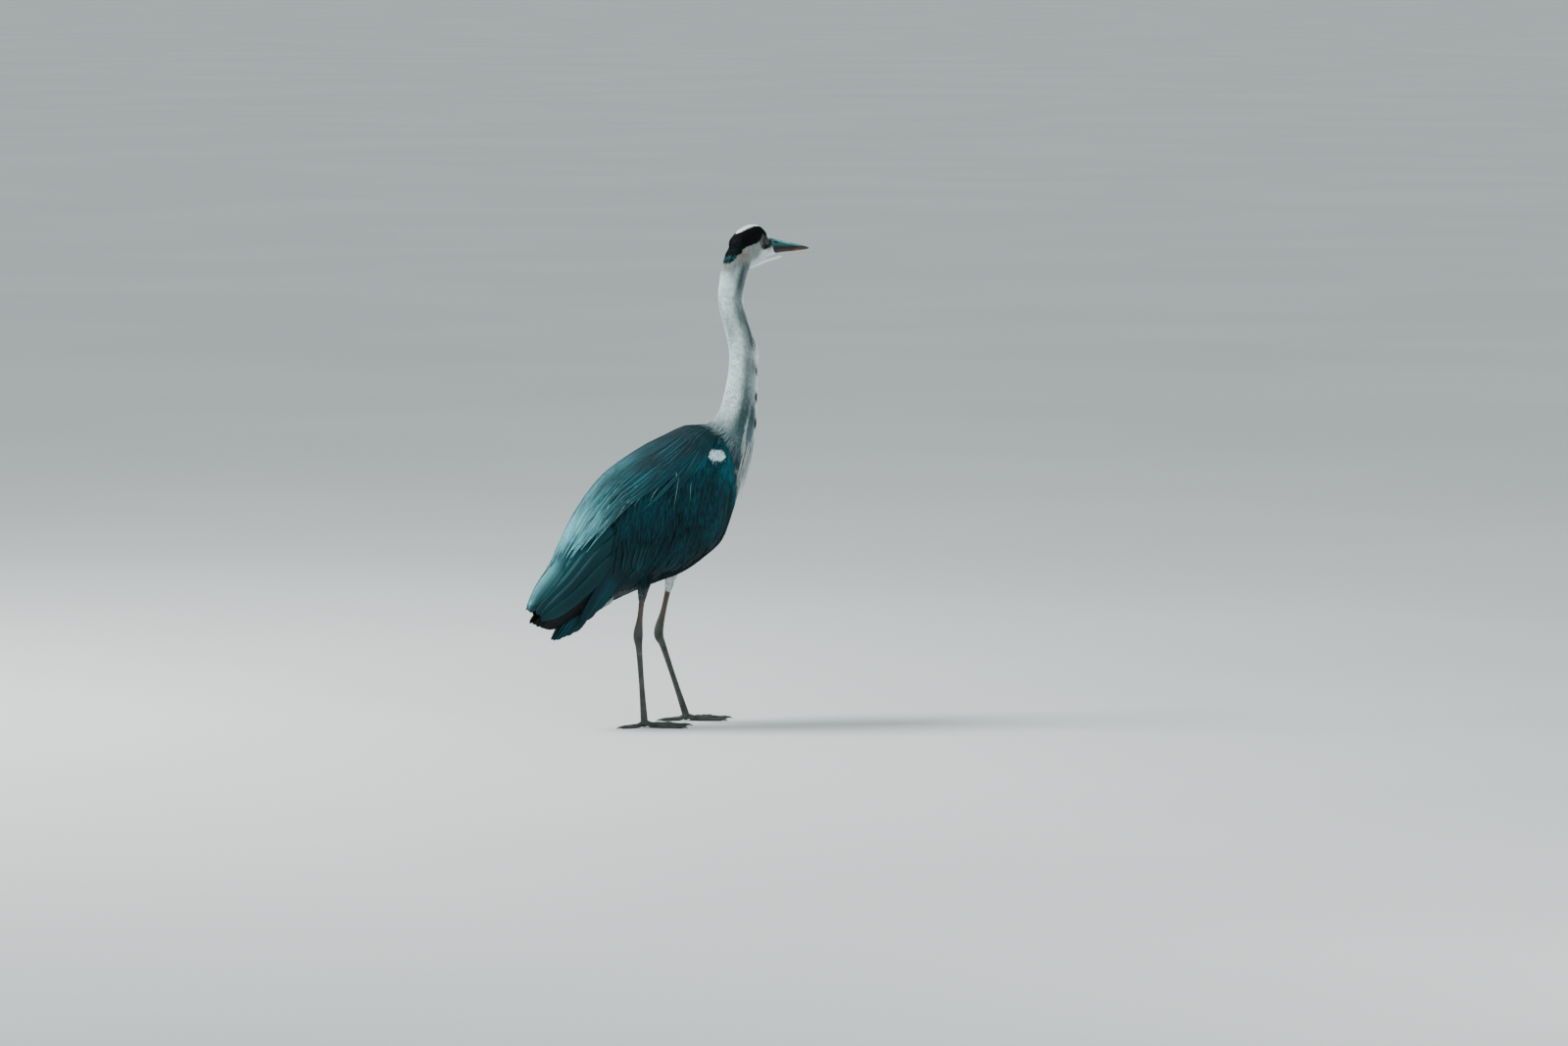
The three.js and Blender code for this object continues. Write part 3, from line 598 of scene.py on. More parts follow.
def light_shade_and_hem(places):
    """A painted highlight along the ridge of the back, the pale hem of the shoulder plumes,
    and a factor of painted shade that darkens the flanks and the front of the mantle and lightens the sides
    by the neck's root."""
    s, turn = around_outline(places.reshape(-1, 3))
    low = fade(s, 8.6, 10.4)
    # ridge: a painted highlight along the top of the back, wider towards the tail
    ridge = ebb(turn, 4 + 6 * low, 26 + 34 * low) * fade(s, 3.0, 7.0)
    hem = fade(s, 6.6, 8.2) * ebb(turn, 46, 64)
    # deep: painted shade, darker on the flanks, and lighter on the sides near the root of the neck
    deep = 1 - 0.35 * fade(turn, 62, 100) * fade(s, 1.6, 3.2) + 0.75 * fade(turn, 50, 70) * ebb(s, 1.9, 3.6)
    # more painted shade at the front of the mantle
    deep = deep - 0.3 * ebb(turn, 36, 58) * ebb(s, 2.5, 6.0)
    return [values.reshape(places.shape[:-1]) for values in (ridge, hem, deep)]


def body_markings(p):
    """Slate back and wings with a painted highlight along the ridge and painted shade on the flanks, black
    flanks, a pale belly, the white bend of the wing, and painted shade on the right thigh.
    """
    s, turn = around_outline(p)
    slate = mix(SLATE, SLATE_DEEP, fade(mottle(p, 60, 1), -0.5, 1.2))
    ridge, hem, deep = light_shade_and_hem(p)
    # the painted highlight along the ridge, then the painted shade over the slate
    slate = mix(slate, SLATE_PALE, 0.45 * ridge) * deep[:, None]
    dark = fade(turn, 104, 122) * fade(s, 2.2, 3.4)
    colour = mix(slate, FLANK, dark * (1 - 0.6 * fade(mottle(p * [1, 1, 0.3], 26, 5), 0.0, 1.2)))
    edge = np.interp(s, [0.5, 1.4, 2.0, 2.8, 4.0, 7.0, 7.9, 8.4], [112, 130, 148, 164, 172, 174, 172, 158])
    colour = mix(colour, BELLY, fade(turn - edge + 4 * mottle(p, 12, 6), -4, 5))
    vent = fade(p[:, 0], -104, -92) * ebb(p[:, 0], -58, -44) * fade(np.abs(p[:, 1]), 3, 9)
    colour = mix(colour, FLANK, vent * (p[:, 2] < 262))
    top = np.where((p[:, 1] > 0) & (p[:, 0] > -15), 282, 250)
    thigh = ebb(p[:, 2] + 4 * mottle(p, 10, 7) - top, 0, 12) * (p[:, 0] > -100) * (p[:, 0] < 60)
    thigh = thigh * fade(np.abs(p[:, 1]), 14, 20)
    # painted shade on the right thigh: over its upper part the pale is only a quarter as strong, while the
    # left thigh is painted whiter
    colour = mix(colour, BELLY, thigh * (1 - 0.75 * (p[:, 1] < 0) * fade(p[:, 2], 215, 235)))
    colour = mix(colour, THIGH_WHITE, 0.8 * thigh * (p[:, 1] > 0))
    return mix(colour, CARPAL, at_wing_bend(p))


# heights, and how far ahead the middle of the neck stands at each
NECK_MIDDLE = [440, 516, 557, 622, 692, 750, 806, 832], [128, 127, 132, 141, 131, 117, 130, 140]


def neck_markings(p):
    """Light behind, mid grey towards the front, partly the neck's own grey and partly painted shade stronger
    on the bird's right, a patch of painted shade higher up, and a white front with two rows of dashes.
    """
    x, y, z = p.T
    middle_x = np.interp(z, *NECK_MIDDLE)
    middle_y = np.interp(z, [735, 812, 840], [0, 4, 7])
    turned = np.degrees(np.arctan2(y - middle_y, x - middle_x)) - HEAD_DEGREES * fade(z, *NECK_TWIST)
    front = np.abs(turned)
    soft = mottle(p * [1, 1, 0.5], 40, 2)
    # mid grey towards the front: partly the neck's own grey, partly painted shade, so the bird's left side
    # gets less of it
    grey = fade(front, 30, 55) * ebb(front, 85, 125) * np.where(turned > 0, 0.65, 1)
    colour = mix(NECK_PALE, NECK_GREY, np.clip(0.95 * grey + 0.38 * soft, 0, 1.1))
    # a soft patch of painted shade on the upper neck, towards the front on both sides
    painted_shade_patch = np.exp(-(((z - 722) / 24) ** 2) - ((front - 80) / 34) ** 2)
    colour = mix(colour, paint(72, 90, 91), 0.6 * painted_shade_patch)
    low = ebb(z + 0.3 * np.minimum(front, 130), 545, 625)
    colour = mix(colour, NECK_LOW, 0.85 * low * fade(front, 25, 60))
    streak = fade(mottle(p * [1, 1, 0.16], 11, 9), -0.1, 0.7) * low * ebb(front, 75, 110)
    colour = mix(colour, BREAST, 0.8 * streak)
    colour = mix(colour, CROWN_WHITE, 0.75 * ebb(front, 22, 34) * (1 - 0.5 * low))
    bulge = np.exp(-(((z - 653) / 14) ** 2) - ((front - 20) / 44) ** 2)
    colour = mix(colour, CROWN_WHITE, 0.9 * bulge)
    beat = np.cos((z - 535) * 0.135 + np.where(y > 0, 2.2, 0)) + 0.3 * mottle(p * [0.2, 0.2, 1], 70, 31)
    dash = fade(beat, 0.35, 0.6) * fade(front, 25, 31) * ebb(front, 41, 49)
    colour = mix(colour, BLACK, 0.94 * dash * fade(z, 452, 475) * ebb(z, 630, 640))
    fleck = fade(beat, 0.3, 0.8) * fade(front, 27, 32) * ebb(front, 38, 44) * fade(z, 650, 680)
    return mix(colour, NECK_LOW, 0.7 * fleck * ebb(z, 740, 770))


def face_markings(p):
    """White crown, black side bands, pale grey cheek, white jaw, and dark lores."""
    h = to_head(p)
    hx, hy, hz = h.T
    flank = np.abs(hy)
    face = mix(CHEEK, NECK_GREY, 0.5 * fade(mottle(h * [1.6, 1, 0.5], 7, 3), 0.1, 0.9))
    slope, rise = (hx + 48) * 0.8 + (hz + 21) * 0.6, (hz + 21) * 0.8 - (hx + 48) * 0.6
    face = mix(face, BUFF, 0.75 * np.exp(-((slope / 17) ** 2) - (rise / 8) ** 2) * fade(flank, 6, 12))
    jaw = np.exp(-((hx + 1) / 12) ** 4 - ((hz + 20.5) / 7) ** 4)
    face = mix(face, JAW_WHITE, np.clip(jaw + fade(-hz, 29, 37) * fade(hx, -34, -20), 0, 1))
    # black bands, from over the eye to the nape
    under = np.interp(hx, [-90, -80, -68, -57, -52, -45, -33, -20, -12, -4, 4, 10],
                      [-26, -33, -29, -17, -11, -6.5, -4, -0.6, 2.7, 7, 9.5, 12])
    band = fade(hz - under - 1.1 * mottle(h, 8, 4), -1.3, 1.3) * ebb(hx, 8, 13)
    colour = mix(face, BLACK, band)
    blue = band * ebb(hz, -19, -13) * ebb(hx, -64, -52)
    colour = mix(colour, NAPE_BLUE, 0.8 * blue * fade(mottle(h * [1, 1, 0.3], 5, 12), -0.7, 0.8))
    # white crown, widest over the middle of the head, and the white forehead before it
    half = np.interp(hx, [-53, -49, -41, -26, -10, 0, 8, 14], [0, 4.5, 6.8, 8.4, 7.0, 4.8, 6.0, 9.0])
    crown = ebb(flank - half + 0.7 * mottle(h, 5, 13), -0.8, 1.0) * fade(hx, -54, -50) * fade(hz, 0, 5)
    colour = mix(colour, CROWN_WHITE, crown)
    brow = np.exp(-((hx - 12) / 3.4) ** 2 - ((hz - 8.5) / 3.6) ** 2)
    colour = mix(colour, CROWN_WHITE, np.clip(1.2 * brow, 0, 1))
    # bare dark skin between the eye and the bill, and a thin dark ring round the eye
    upper = np.interp(hx, [-4, 0, 6, 12], [-9, -6.5, -2, 3])
    lore = fade(hx, -3, 1) * fade(hz, -13, -10.5) * ebb(hz - upper, -1, 1.5) * fade(flank, 4, 7)
    ring = np.sqrt((hx - 1.0) ** 2 + (hz - 0.8) ** 2)
    patch = np.sqrt(((hx + 1.5) / 11.5) ** 2 + ((hz + 2.2) / 11.8) ** 2)
    rim = ebb(patch + 0.1 * mottle(h, 5, 21), 0.82, 1.15) * fade(flank, 9, 12)
    arc = np.exp(-((ring - 9.6) / 0.8) ** 2) + 0.6 * np.exp(-((ring - 12.4) / 0.7) ** 2)
    colour = mix(colour, LORE, np.clip(0.92 * lore + 0.88 * rim, 0, 1))
    return mix(colour, CHEEK, 0.8 * arc * ebb(hx, -4, 0) * fade(hz, -7, -2) * fade(flank, 9, 12))


NECK_ROOT = (137, 440)
NECK_WAY = (0.814, 0.58)


def up_the_neck(p):
    """Millimetres from the root of the neck, along its lowest part."""
    return (p[:, 0] - NECK_ROOT[0]) * NECK_WAY[0] + (p[:, 2] - NECK_ROOT[1]) * NECK_WAY[1]


def markings(p):
    """Colours of skin and coat at places of the drawing, in millimetres."""
    hx = to_head(p)[:, 0]
    on_head = fade(p[:, 2] - 0.35 * hx, 815, 832) * fade(hx, -96, -80)
    on_neck = fade(up_the_neck(p) + 6 * mottle(p, 16, 14), -14, 40) ** 0.7
    colour = mix(body_markings(p), neck_markings(p), on_neck)
    return np.clip(mix(colour, face_markings(p), on_head), 0, 1)


# %% Paint the skin
skin_places = drawn(corners(skin))
skin_colour = markings(skin_places)
layer = skin.data.color_attributes.new("Coat", "FLOAT_COLOR", "POINT")
layer.data.foreach_set("color", np.column_stack([skin_colour, np.ones(len(skin_colour))]).ravel())
print("painted", len(skin_colour), "corners of the skin")

# %% [markdown]
# ## Materials for feathers
# A vane is a flat row of barbs on a shaft. Its colour comes from the feather's own painted
# attribute, and the barbs from a fine slanting wave on the feather's own map, across it in U and
# along it in V. The wave is in the bump as well as the colour, which gives the silky, slightly
# uneven sheen of a real coat.

# %% A finish in the making


class Finish:
    """A material and its shader, with short ways to add nodes to them."""

    def __init__(self, name):
        self.material = bpy.data.materials.new(name)
        self.material.use_nodes = True
        self.tree = self.material.node_tree
        self.tree.nodes.clear()
        self.shader = self.node("BsdfPrincipled")
        self.node("OutputMaterial", {"Surface": self.shader.outputs["BSDF"]})
        self.place = self.node("TexCoord").outputs["Object"]

    def plug(self, socket, value):
        """Link a socket to another, or set it to a number, a vector or a colour."""
        if isinstance(value, bpy.types.NodeSocket):
            self.tree.links.new(value, socket)
        elif socket.type == "RGBA":
            socket.default_value = (*value, 1)
        else:
            socket.default_value = value

    def node(self, kind, inputs=None, **settings):
        made = self.tree.nodes.new("ShaderNode" + kind)
        for name, value in settings.items():
            setattr(made, name, value)
        for name, value in (inputs or {}).items():
            self.plug(made.inputs[name], value)
        return made

    def set(self, inputs):
        for name, value in inputs.items():
            self.plug(self.shader.inputs[name], value)

    def put_on(self, *pieces):
        for piece in pieces:
            piece.data.materials.append(self.material)

    def painted(self):
        return self.node("Attribute", attribute_name="Coat").outputs["Color"]

    def noise(self, scale, detail, at=None):
        inputs = {"Vector": at or self.place, "Scale": scale, "Detail": detail}
        return self.node("TexNoise", inputs).outputs["Fac"]

    def calc(self, operation, *values, clamp=False):
        inputs = dict(enumerate(values))
        return self.node("Math", inputs, operation=operation, use_clamp=clamp).outputs[0]

    def vector(self, operation, *values):
        return self.node("VectorMath", dict(enumerate(values)), operation=operation).outputs

    def plus(self, a, b):
        return self.calc("ADD", a, b)

    def minus(self, a, b):
        return self.calc("SUBTRACT", a, b)

    def times(self, a, b):
        return self.calc("MULTIPLY", a, b)

    def ramp(self, value, stops, ease="EASE"):
        """Colours or greys between places from 0 to 1."""
        made = self.node("ValToRGB", {"Fac": value})
        made.color_ramp.interpolation = ease
        elements = made.color_ramp.elements
        while len(elements) < len(stops):
            elements.new(0.5)
        for element, (place, colour) in zip(elements, stops):
            element.position = place
            element.color = (colour,) * 3 + (1,) if np.isscalar(colour) else (*colour, 1)
        return made.outputs["Color"]

    def blend(self, kind, share, a, b):
        return self.node("Mix", {0: share, 6: a, 7: b}, data_type="RGBA", blend_type=kind).outputs[2]

    def shaded(self, colour, value, stops, share=1.0):
        """A colour made darker or lighter by a ramp of greys."""
        return self.blend("MULTIPLY", share, colour, self.ramp(value, stops))

    def bump(self, height, distance):
        made = self.node("Bump", {"Height": height, "Distance": distance, "Strength": 1.0})
        self.set({"Normal": made.outputs["Normal"]})


# %% Feather finishes
def feather_finish(name, barbs, slant, shaft, roughness):
    """barbs is their number along a vane, slant how far they lean, shaft its darkening."""
    finish = Finish(name)
    own = finish.node("UVMap", uv_map="Vane").outputs["UV"]
    split = finish.node("SeparateXYZ", {0: own}).outputs
    across = finish.calc("ABSOLUTE", finish.minus(split["X"], 0.5))
    drift = finish.times(finish.noise(5.0, 2.0, own), 0.03)
    along = finish.plus(finish.minus(split["Y"], finish.times(across, slant)), drift)
    wave = finish.calc("SINE", finish.times(along, barbs * 2 * math.pi))
    ridge = finish.calc("MULTIPLY_ADD", wave, 0.5, 0.5)
    cloud = finish.noise(140.0, 4.0)
    colour = finish.shaded(finish.painted(), cloud, [(0.25, 0.88), (0.75, 1.14)])
    colour = finish.shaded(colour, ridge, [(0.0, 0.95), (1.0, 1.04)])
    colour = finish.shaded(colour, across, [(0.0, shaft), (0.035, 1.0)])
    rough = finish.ramp(cloud, [(0.2, roughness - 0.12), (0.8, min(roughness + 0.1, 1.0))])
    finish.set({"Base Color": colour, "Roughness": rough, "Specular IOR Level": 0.18})
    finish.bump(ridge, 0.000035)
    return finish


coat_finish = feather_finish("body_feathers", 7, 0.5, 0.97, 0.85)
vane_finish = feather_finish("long_vanes", 80, 0.3, 0.62, 0.72)

# %% Skin finish
skin_finish = Finish("down_over_skin")
down = skin_finish.noise(420.0, 5.0)
skin_tone = skin_finish.shaded(skin_finish.painted(), down, [(0.25, 0.8), (0.8, 1.05)])
skin_finish.set({"Base Color": skin_tone, "Roughness": 0.9, "Specular IOR Level": 0.2})
skin_finish.bump(down, 0.0006)
skin_finish.put_on(skin)
print("finishes so far:", ", ".join(each.name for each in bpy.data.materials))

# %% [markdown]
# ## Building many feathers at once
# A coat has tens of thousands of feathers, so they are built as arrays: for every feather, a few
# cross sections from root to tip, and in every cross section the same ring of corners. Small
# feathers have three corners (two edges and a ridge) and close to a point. Long vanes have ten,
# with a raised shaft and a thin underside.

# %% Feather builder
TUFT_RING = {"across": [-1, 0, 1], "arch": [0, 1, 0], "thick": [0, 1, 0]}
TUFT_THICK = 0.14  # millimetres
VANE_RING = {
    "across": [-1, -0.55, -0.07, 0, 0.07, 0.55, 1, 0.5, 0, -0.5],
    "arch": [0, 0.72, 0.98, 1, 0.98, 0.72, 0, 0.72, 0.98, 0.72],
    "thick": [0, 0.7, 0.8, 1.9, 0.8, 0.7, 0, -0.6, -0.9, -0.6],
}


PATCH = 0.003  # the side of a small feather's patch on the skin's unwrap


def build_feathers(name, centres, sides, ups, widths, ring, colours, thick, arch, finish, patch=(1, 1)):
    """Feathers as one mesh. centres, sides and ups are count x sections x 3, in millimetres."""
    count, sections = widths.shape
    across, lift, deep = (np.array(ring[key], float) for key in ("across", "arch", "thick"))
    edges = len(across)
    reach = widths[..., None] * across
    height = widths[..., None] * lift * arch + thick * deep
    points = centres[:, :, None] + sides[:, :, None] * reach[..., None] + ups[:, :, None] * height[..., None]
    base = (np.arange(count) * sections * edges)[:, None, None]
    ring_at = (np.arange(sections - 1) * edges)[None, :, None]
    k = np.arange(edges)
    here, following = base + ring_at + k, base + ring_at + (k + 1) % edges
    quads = np.stack([here, following, following + edges, here + edges], -1).reshape(-1, 4)
    first = (base[:, 0] + k[::-1]).reshape(-1, edges)
    final = (base[:, 0] + (sections - 1) * edges + k).reshape(-1, edges)
    caps = np.vstack([first, final])
    mesh = bpy.data.meshes.new(name)
    mesh.vertices.add(points.size // 3)
    mesh.vertices.foreach_set("co", placed(points.reshape(-1, 3)).astype(np.float32).ravel())
    order = np.concatenate([quads.ravel(), caps.ravel()])
    starts = np.concatenate([np.arange(len(quads)) * 4, len(quads) * 4 + np.arange(len(caps)) * edges])
    mesh.loops.add(len(order))
    mesh.loops.foreach_set("vertex_index", order.astype(np.int32))
    mesh.polygons.add(len(starts))
    mesh.polygons.foreach_set("loop_start", starts.astype(np.int32))
    mesh.update(calc_edges=True)
    share = np.linspace(0, 1, sections)
    vane_map = np.empty((count, sections, edges, 2))
    vane_map[..., 0] = across / 2 + 0.5
    vane_map[..., 1] = share[None, :, None]
    _, _, faces = on_skin(placed(centres[:, 0]))
    root = unwrap_at(faces)
    bake_map = root[:, None, None] + (vane_map - 0.5) * PATCH * np.array(patch)
    for title, values in (("OFBake", bake_map), ("Vane", vane_map)):
        layer = mesh.uv_layers.new(name=title)
        layer.data.foreach_set("uv", values.reshape(-1, 2)[order].astype(np.float32).ravel())
    rgba = np.ones((count, sections, edges, 4), np.float32)
    rgba[..., :3] = np.clip(colours, 0, 1)
    layer = mesh.color_attributes.new("Coat", "FLOAT_COLOR", "POINT")
    layer.data.foreach_set("color", rgba.ravel())
    mesh.materials.append(finish.material)
    piece = bpy.data.objects.new(name, mesh)
    bpy.context.scene.collection.objects.link(piece)
    print(name, "has", count, "feathers and", len(quads) * 2 + len(caps) * (edges - 2), "triangles")
    return smooth(piece)


# %% [markdown]
# ## Sowing small feathers
# Feather roots are strewn over the skin, more thickly where the feathers are small. Then each
# feather's sections are pulled onto the skin again and lifted a little towards the tip, so it
# follows the curve of the body and overlaps the next one like a tile on a roof.

# %% The zones of the coat
skin.data.calc_loop_triangles()
triangles = corners(skin)[read(skin.data.loop_triangles, "vertices", 3, int)]
two_edges = triangles[:, 1:] - triangles[:, :1]
triangle_areas = np.linalg.norm(np.cross(two_edges[:, 0], two_edges[:, 1]), axis=1) / 2
triangle_middles = drawn(triangles.mean(1))
FACE = {"above": 798, "ahead": -72}
NECK_COAT_FROM = 14  # millimetres up the neck from its root
EYE_LEVEL = -4


def zones_of(p):
    """Masks of the places that each kind of small feather covers."""
    hx, hy, hz = to_head(p).T
    s, turn = around_outline(p)
    z, climb, flank = p[:, 2], up_the_neck(p), np.abs(hy)
    lore = (hx > 10.5) & (hz > -8) & (hz < -4) & (flank > 5)
    round_eye = (np.hypot(hx - 2.8, hz - 0.8) < 7.6) & (flank > 9)
    face = (z > FACE["above"]) & (hx > FACE["ahead"])
    feathered = face & ~lore & ~round_eye
    on_neck = (climb > NECK_COAT_FROM) & ~face
    on_back = (turn < 134) & (s > 1.0) & (s < 10.4) & (climb <= NECK_COAT_FROM)
    return {
        "crown": feathered & (hz > EYE_LEVEL),
        "cheek": feathered & (hz <= EYE_LEVEL),
        "nape": on_neck & (z > 752),
        "upper_neck": on_neck & (z > 645) & (z <= 752),
        "lower_neck": on_neck & (z <= 645),
        "belly": ~face & ~on_neck & ~on_back,
        "mantle": on_back & (turn < 60),
        "wing_small": on_back & (turn >= 60),
        "crest": (hx > -84) & (hx < -50) & (hz > -15) & (hz < 12),
    }


ZONES = zones_of(triangle_middles)
print("triangles of the skin in each zone:", {name: int(mask.sum()) for name, mask in ZONES.items()})

# %% Sow and lay
CROWD = 3  # seeds that are strewn for each place, of which one stays
CELL = 1.12  # the side of a cell that keeps one seed, for each step between feathers


def sow(zone, apart, seed):
    """Roots about this far apart, in millimetres, on one zone of the skin."""
    dice = np.random.default_rng(seed)
    chosen = np.flatnonzero(ZONES[zone])
    areas = triangle_areas[chosen]
    count = int(CROWD * areas.sum() / (apart * MM) ** 2)
    pick = chosen[dice.choice(len(chosen), count, p=areas / areas.sum())]
    a, b = np.sort(dice.random((2, count)), axis=0)
    shares = np.column_stack([a, b - a, 1 - b])
    points = drawn((triangles[pick] * shares[..., None]).sum(1))
    cell = np.floor(points / (apart * CELL)).astype(int)
    _, first = np.unique(cell, axis=0, return_index=True)
    return points[first]


def set_along(centres, outward):
    """Sideways and upward directions of vanes that run along their centres."""
    along = unit(np.gradient(centres, axis=1))
    sides = unit(np.cross(along, outward))
    return sides, np.cross(sides, along)


def lay(name, roots, long, half, lift, colours, seed, outline_of, *,
        sections=4, unruly=6.0, vary=0.12, tip=None):
    """Small feathers on the skin. Sizes are in millimetres, unruly is how many degrees they stray."""
    dice = np.random.default_rng(seed)
    count = len(roots)
    long = long * dice.uniform(0.85, 1.15, count)
    half = half * dice.uniform(0.88, 1.12, count)
    _, ways_out, _ = on_skin(placed(roots))
    ahead = lie(roots, ways_out)
    aside = np.cross(ahead, ways_out)
    stray = np.radians(dice.normal(0, unruly, count))[:, None]
    ahead = ahead * np.cos(stray) + aside * np.sin(stray)
    shares = np.linspace(0, 1, sections)
    line = roots[:, None] + ahead[:, None] * (long[:, None] * shares)[..., None]
    places, ways, _ = on_skin(placed(line))
    rise = -0.5 + (lift + 0.5) * np.minimum(shares * 1.25, 1) ** 0.8
    rise = rise * dice.uniform(0.85, 1.15, count)[:, None]
    centres = drawn(places) + ways * rise[..., None]
    sides, ups = set_along(centres, ways)
    widths = half[:, None] * outline_of(shares)
    tints = (colours * dice.uniform(1 - vary, 1 + vary, count)[:, None])[:, None]
    tints = tints * (0.92 + 0.12 * shares)[:, None]
    if tip is not None:
        tints = mix(tints, tip, 0.7 * fade(shares, 0.5, 1) * dice.uniform(0.2, 1, count)[:, None])
    return build_feathers(
        name, centres, sides, ups, widths, TUFT_RING, tints[:, :, None], TUFT_THICK, 0.14, coat_finish
    )


# %% Outlines of feathers
def tapering(root, widening, loss, start, end=1.0):
    """An outline: half the width at a share of the length, as a share of the widest."""
    return lambda t: np.clip(root + widening * t, 0, 1) * (1 - loss * fade(t, start, end))


hairlike = tapering(0.6, 1.2, 0.9, 0.4)
lance = tapering(0.55, 1.4, 0.88, 0.5, 1.02)
plume = tapering(0.5, 1.5, 0.93, 0.35)
lappet = tapering(0.5, 1.5, 0.9, 0.62)


def quill(t):
    """Parallel edges and a round tip."""
    round_tip = np.clip(1 - (np.clip(t - 0.72, 0, 1) / 0.282) ** 2, 0.0, 1)
    return np.clip(0.5 + 1.6 * t, 0, 1) * np.sqrt(round_tip)


# %% Small coat pieces
def coat(zone, apart, long, half, lift, seed, outline_of, **rest):
    """Small feathers over one zone, each painted as the skin is at its root."""
    roots = sow(zone, apart, seed)
    return lay(zone + "_feathers", roots, long, half, lift, markings(roots), seed + 1, outline_of, **rest)


pale_coats = [
    coat("crown", 0.82, 4.6, 0.55, 0.5, 11, hairlike, sections=3, unruly=7),
    coat("cheek", 0.84, 4.6, 0.55, 0.45, 15, hairlike, sections=3, unruly=8),
    coat("nape", 1.15, 7.0, 0.72, 0.5, 19, hairlike, sections=3, unruly=6),
    coat("upper_neck", 1.5, 10.5, 0.92, 0.5, 21, hairlike, unruly=5),
    coat("lower_neck", 1.75, 13.0, 1.1, 0.6, 25, hairlike, unruly=4),
    coat("belly", 3.0, 22.0, 1.9, 2.4, 31, hairlike, unruly=9),
]
BACK_COAT = {"sections": 5, "unruly": 5, "vary": 0.15, "tip": SLATE}
mantle_coat = coat("mantle", 3.7, 26.0, 2.9, 2.4, 41, lance, **BACK_COAT)
wing_coat = coat("wing_small", 4.0, 22.0, 3.4, 2.2, 45, lance, **BACK_COAT)

# %% [markdown]
# ## Rows of long vanes
# Wing and tail feathers grow in rows. Each row runs between a line of roots and a line of tips,
# both on the body's outline, and overlaps the row under it. Roots and tips are station, turn in
# degrees and height over the outline, for the first and the last feather of the row.

# %% Row builder
LONG_PATCH = (1, 3)  # a long vane's share of the bake map, across and along it
VANE_SHARES = np.array([0, 0.1, 0.22, 0.36, 0.5, 0.62, 0.73, 0.82, 0.89, 0.94, 0.975, 1])
PLAIN_ROW = {
    "ragged": 1,  # how much the tips stray
    "bow": 0,  # degrees that the middle of a vane bends round the body
    "rise": 0.5,  # the share of its length over which a vane comes up to its tip's height
    "past": (0, 0, 0),  # how far the tip runs on past the outline
    "flat": 0,  # 0 lies along the body, 1 faces straight out to the side
    "tilt": 0,  # degrees that it is rolled
    "ridge": 0.5,  # how strongly the painted highlight along the ridge of the back shows on it
    "hem": 0,  # how strongly the pale hem of the shoulder shows on it
    "streaky": 0,  # how much less for some feathers than for others
    "cloud": 0.3,  # how strongly the soft patches show
    "edges": {},
}


def vane_row(side, each, dice):
    """Centres, sides, ups and widths of one row of vanes on one side of the bird."""
    count = each["count"]
    share = np.linspace(0, 1, count)[:, None]
    roots, tips = (np.array(a) * (1 - share) + np.array(b) * share for a, b in (each["roots"], each["tips"]))
    tips[:, 0] += dice.uniform(-0.1, 0.1, count) * each["ragged"]
    tips[:, 1] += dice.uniform(-1.4, 1.4, count) * each["ragged"]
    t = VANE_SHARES[None]
    s = roots[:, :1] + (tips[:, :1] - roots[:, :1]) * t
    degrees = roots[:, 1:2] + (tips[:, 1:2] - roots[:, 1:2]) * t + each["bow"] * np.sin(math.pi * t)
    height = roots[:, 2:] + (tips[:, 2:] - roots[:, 2:]) * fade(t, -0.1, each["rise"])
    centres = outline(s, np.radians(degrees) * side, height) + np.array(each["past"]) * (t**2)[..., None]
    facing = np.radians(degrees + (90 - degrees) * each["flat"]) * side
    sides, ups = set_along(centres, outline(s, facing, 1.0) - outline(s, facing, 0.0))
    roll = math.radians(each["tilt"]) * side
    sides, ups = sides * math.cos(roll) + ups * math.sin(roll), ups * math.cos(roll) - sides * math.sin(roll)
    widths = each["half"] * dice.uniform(0.94, 1.06, count)[:, None] * each["outline"](VANE_SHARES)
    widths = np.maximum(widths * dice.uniform(0.97, 1.03, widths.shape), 0.08)
    return centres, sides, ups, widths


def vane_colours(count, base, fringe, tip, dice, fringe_width=0.25, from_tip=0.7, vary=0.25):
    """Painted vanes: a base, a paler fringe at both edges, and another colour to the tip."""
    across = np.abs(np.array(VANE_RING["across"], float))[None, None]
    t = VANE_SHARES[None, :, None]
    tint = dice.uniform(1 - vary, 1 + vary, count)[:, None, None, None]
    colour = np.broadcast_to(base, (count, len(VANE_SHARES), across.shape[2], 3)) * tint
    edge = fade(across, 1 - fringe_width, 1.0) * fade(t, 0.15, 0.5)
    colour = mix(colour, fringe, edge * dice.uniform(0.2, 0.8, count)[:, None, None])
    end = fade(t, from_tip, 1.0) * (1 - 0.2 * across)
    return mix(colour, tip, end * dice.uniform(0.3, 1.0, count)[:, None, None])


def clouds(places):
    """Wide soft patches, lighter and darker, that run over whole groups of feathers."""
    flat = places.reshape(-1, 3) * [1, 1, 0.55]
    return np.clip(mottle(flat, 48, 17) + 0.5 * mottle(flat, 17, 18), -1, 1.4).reshape(places.shape[:-1])


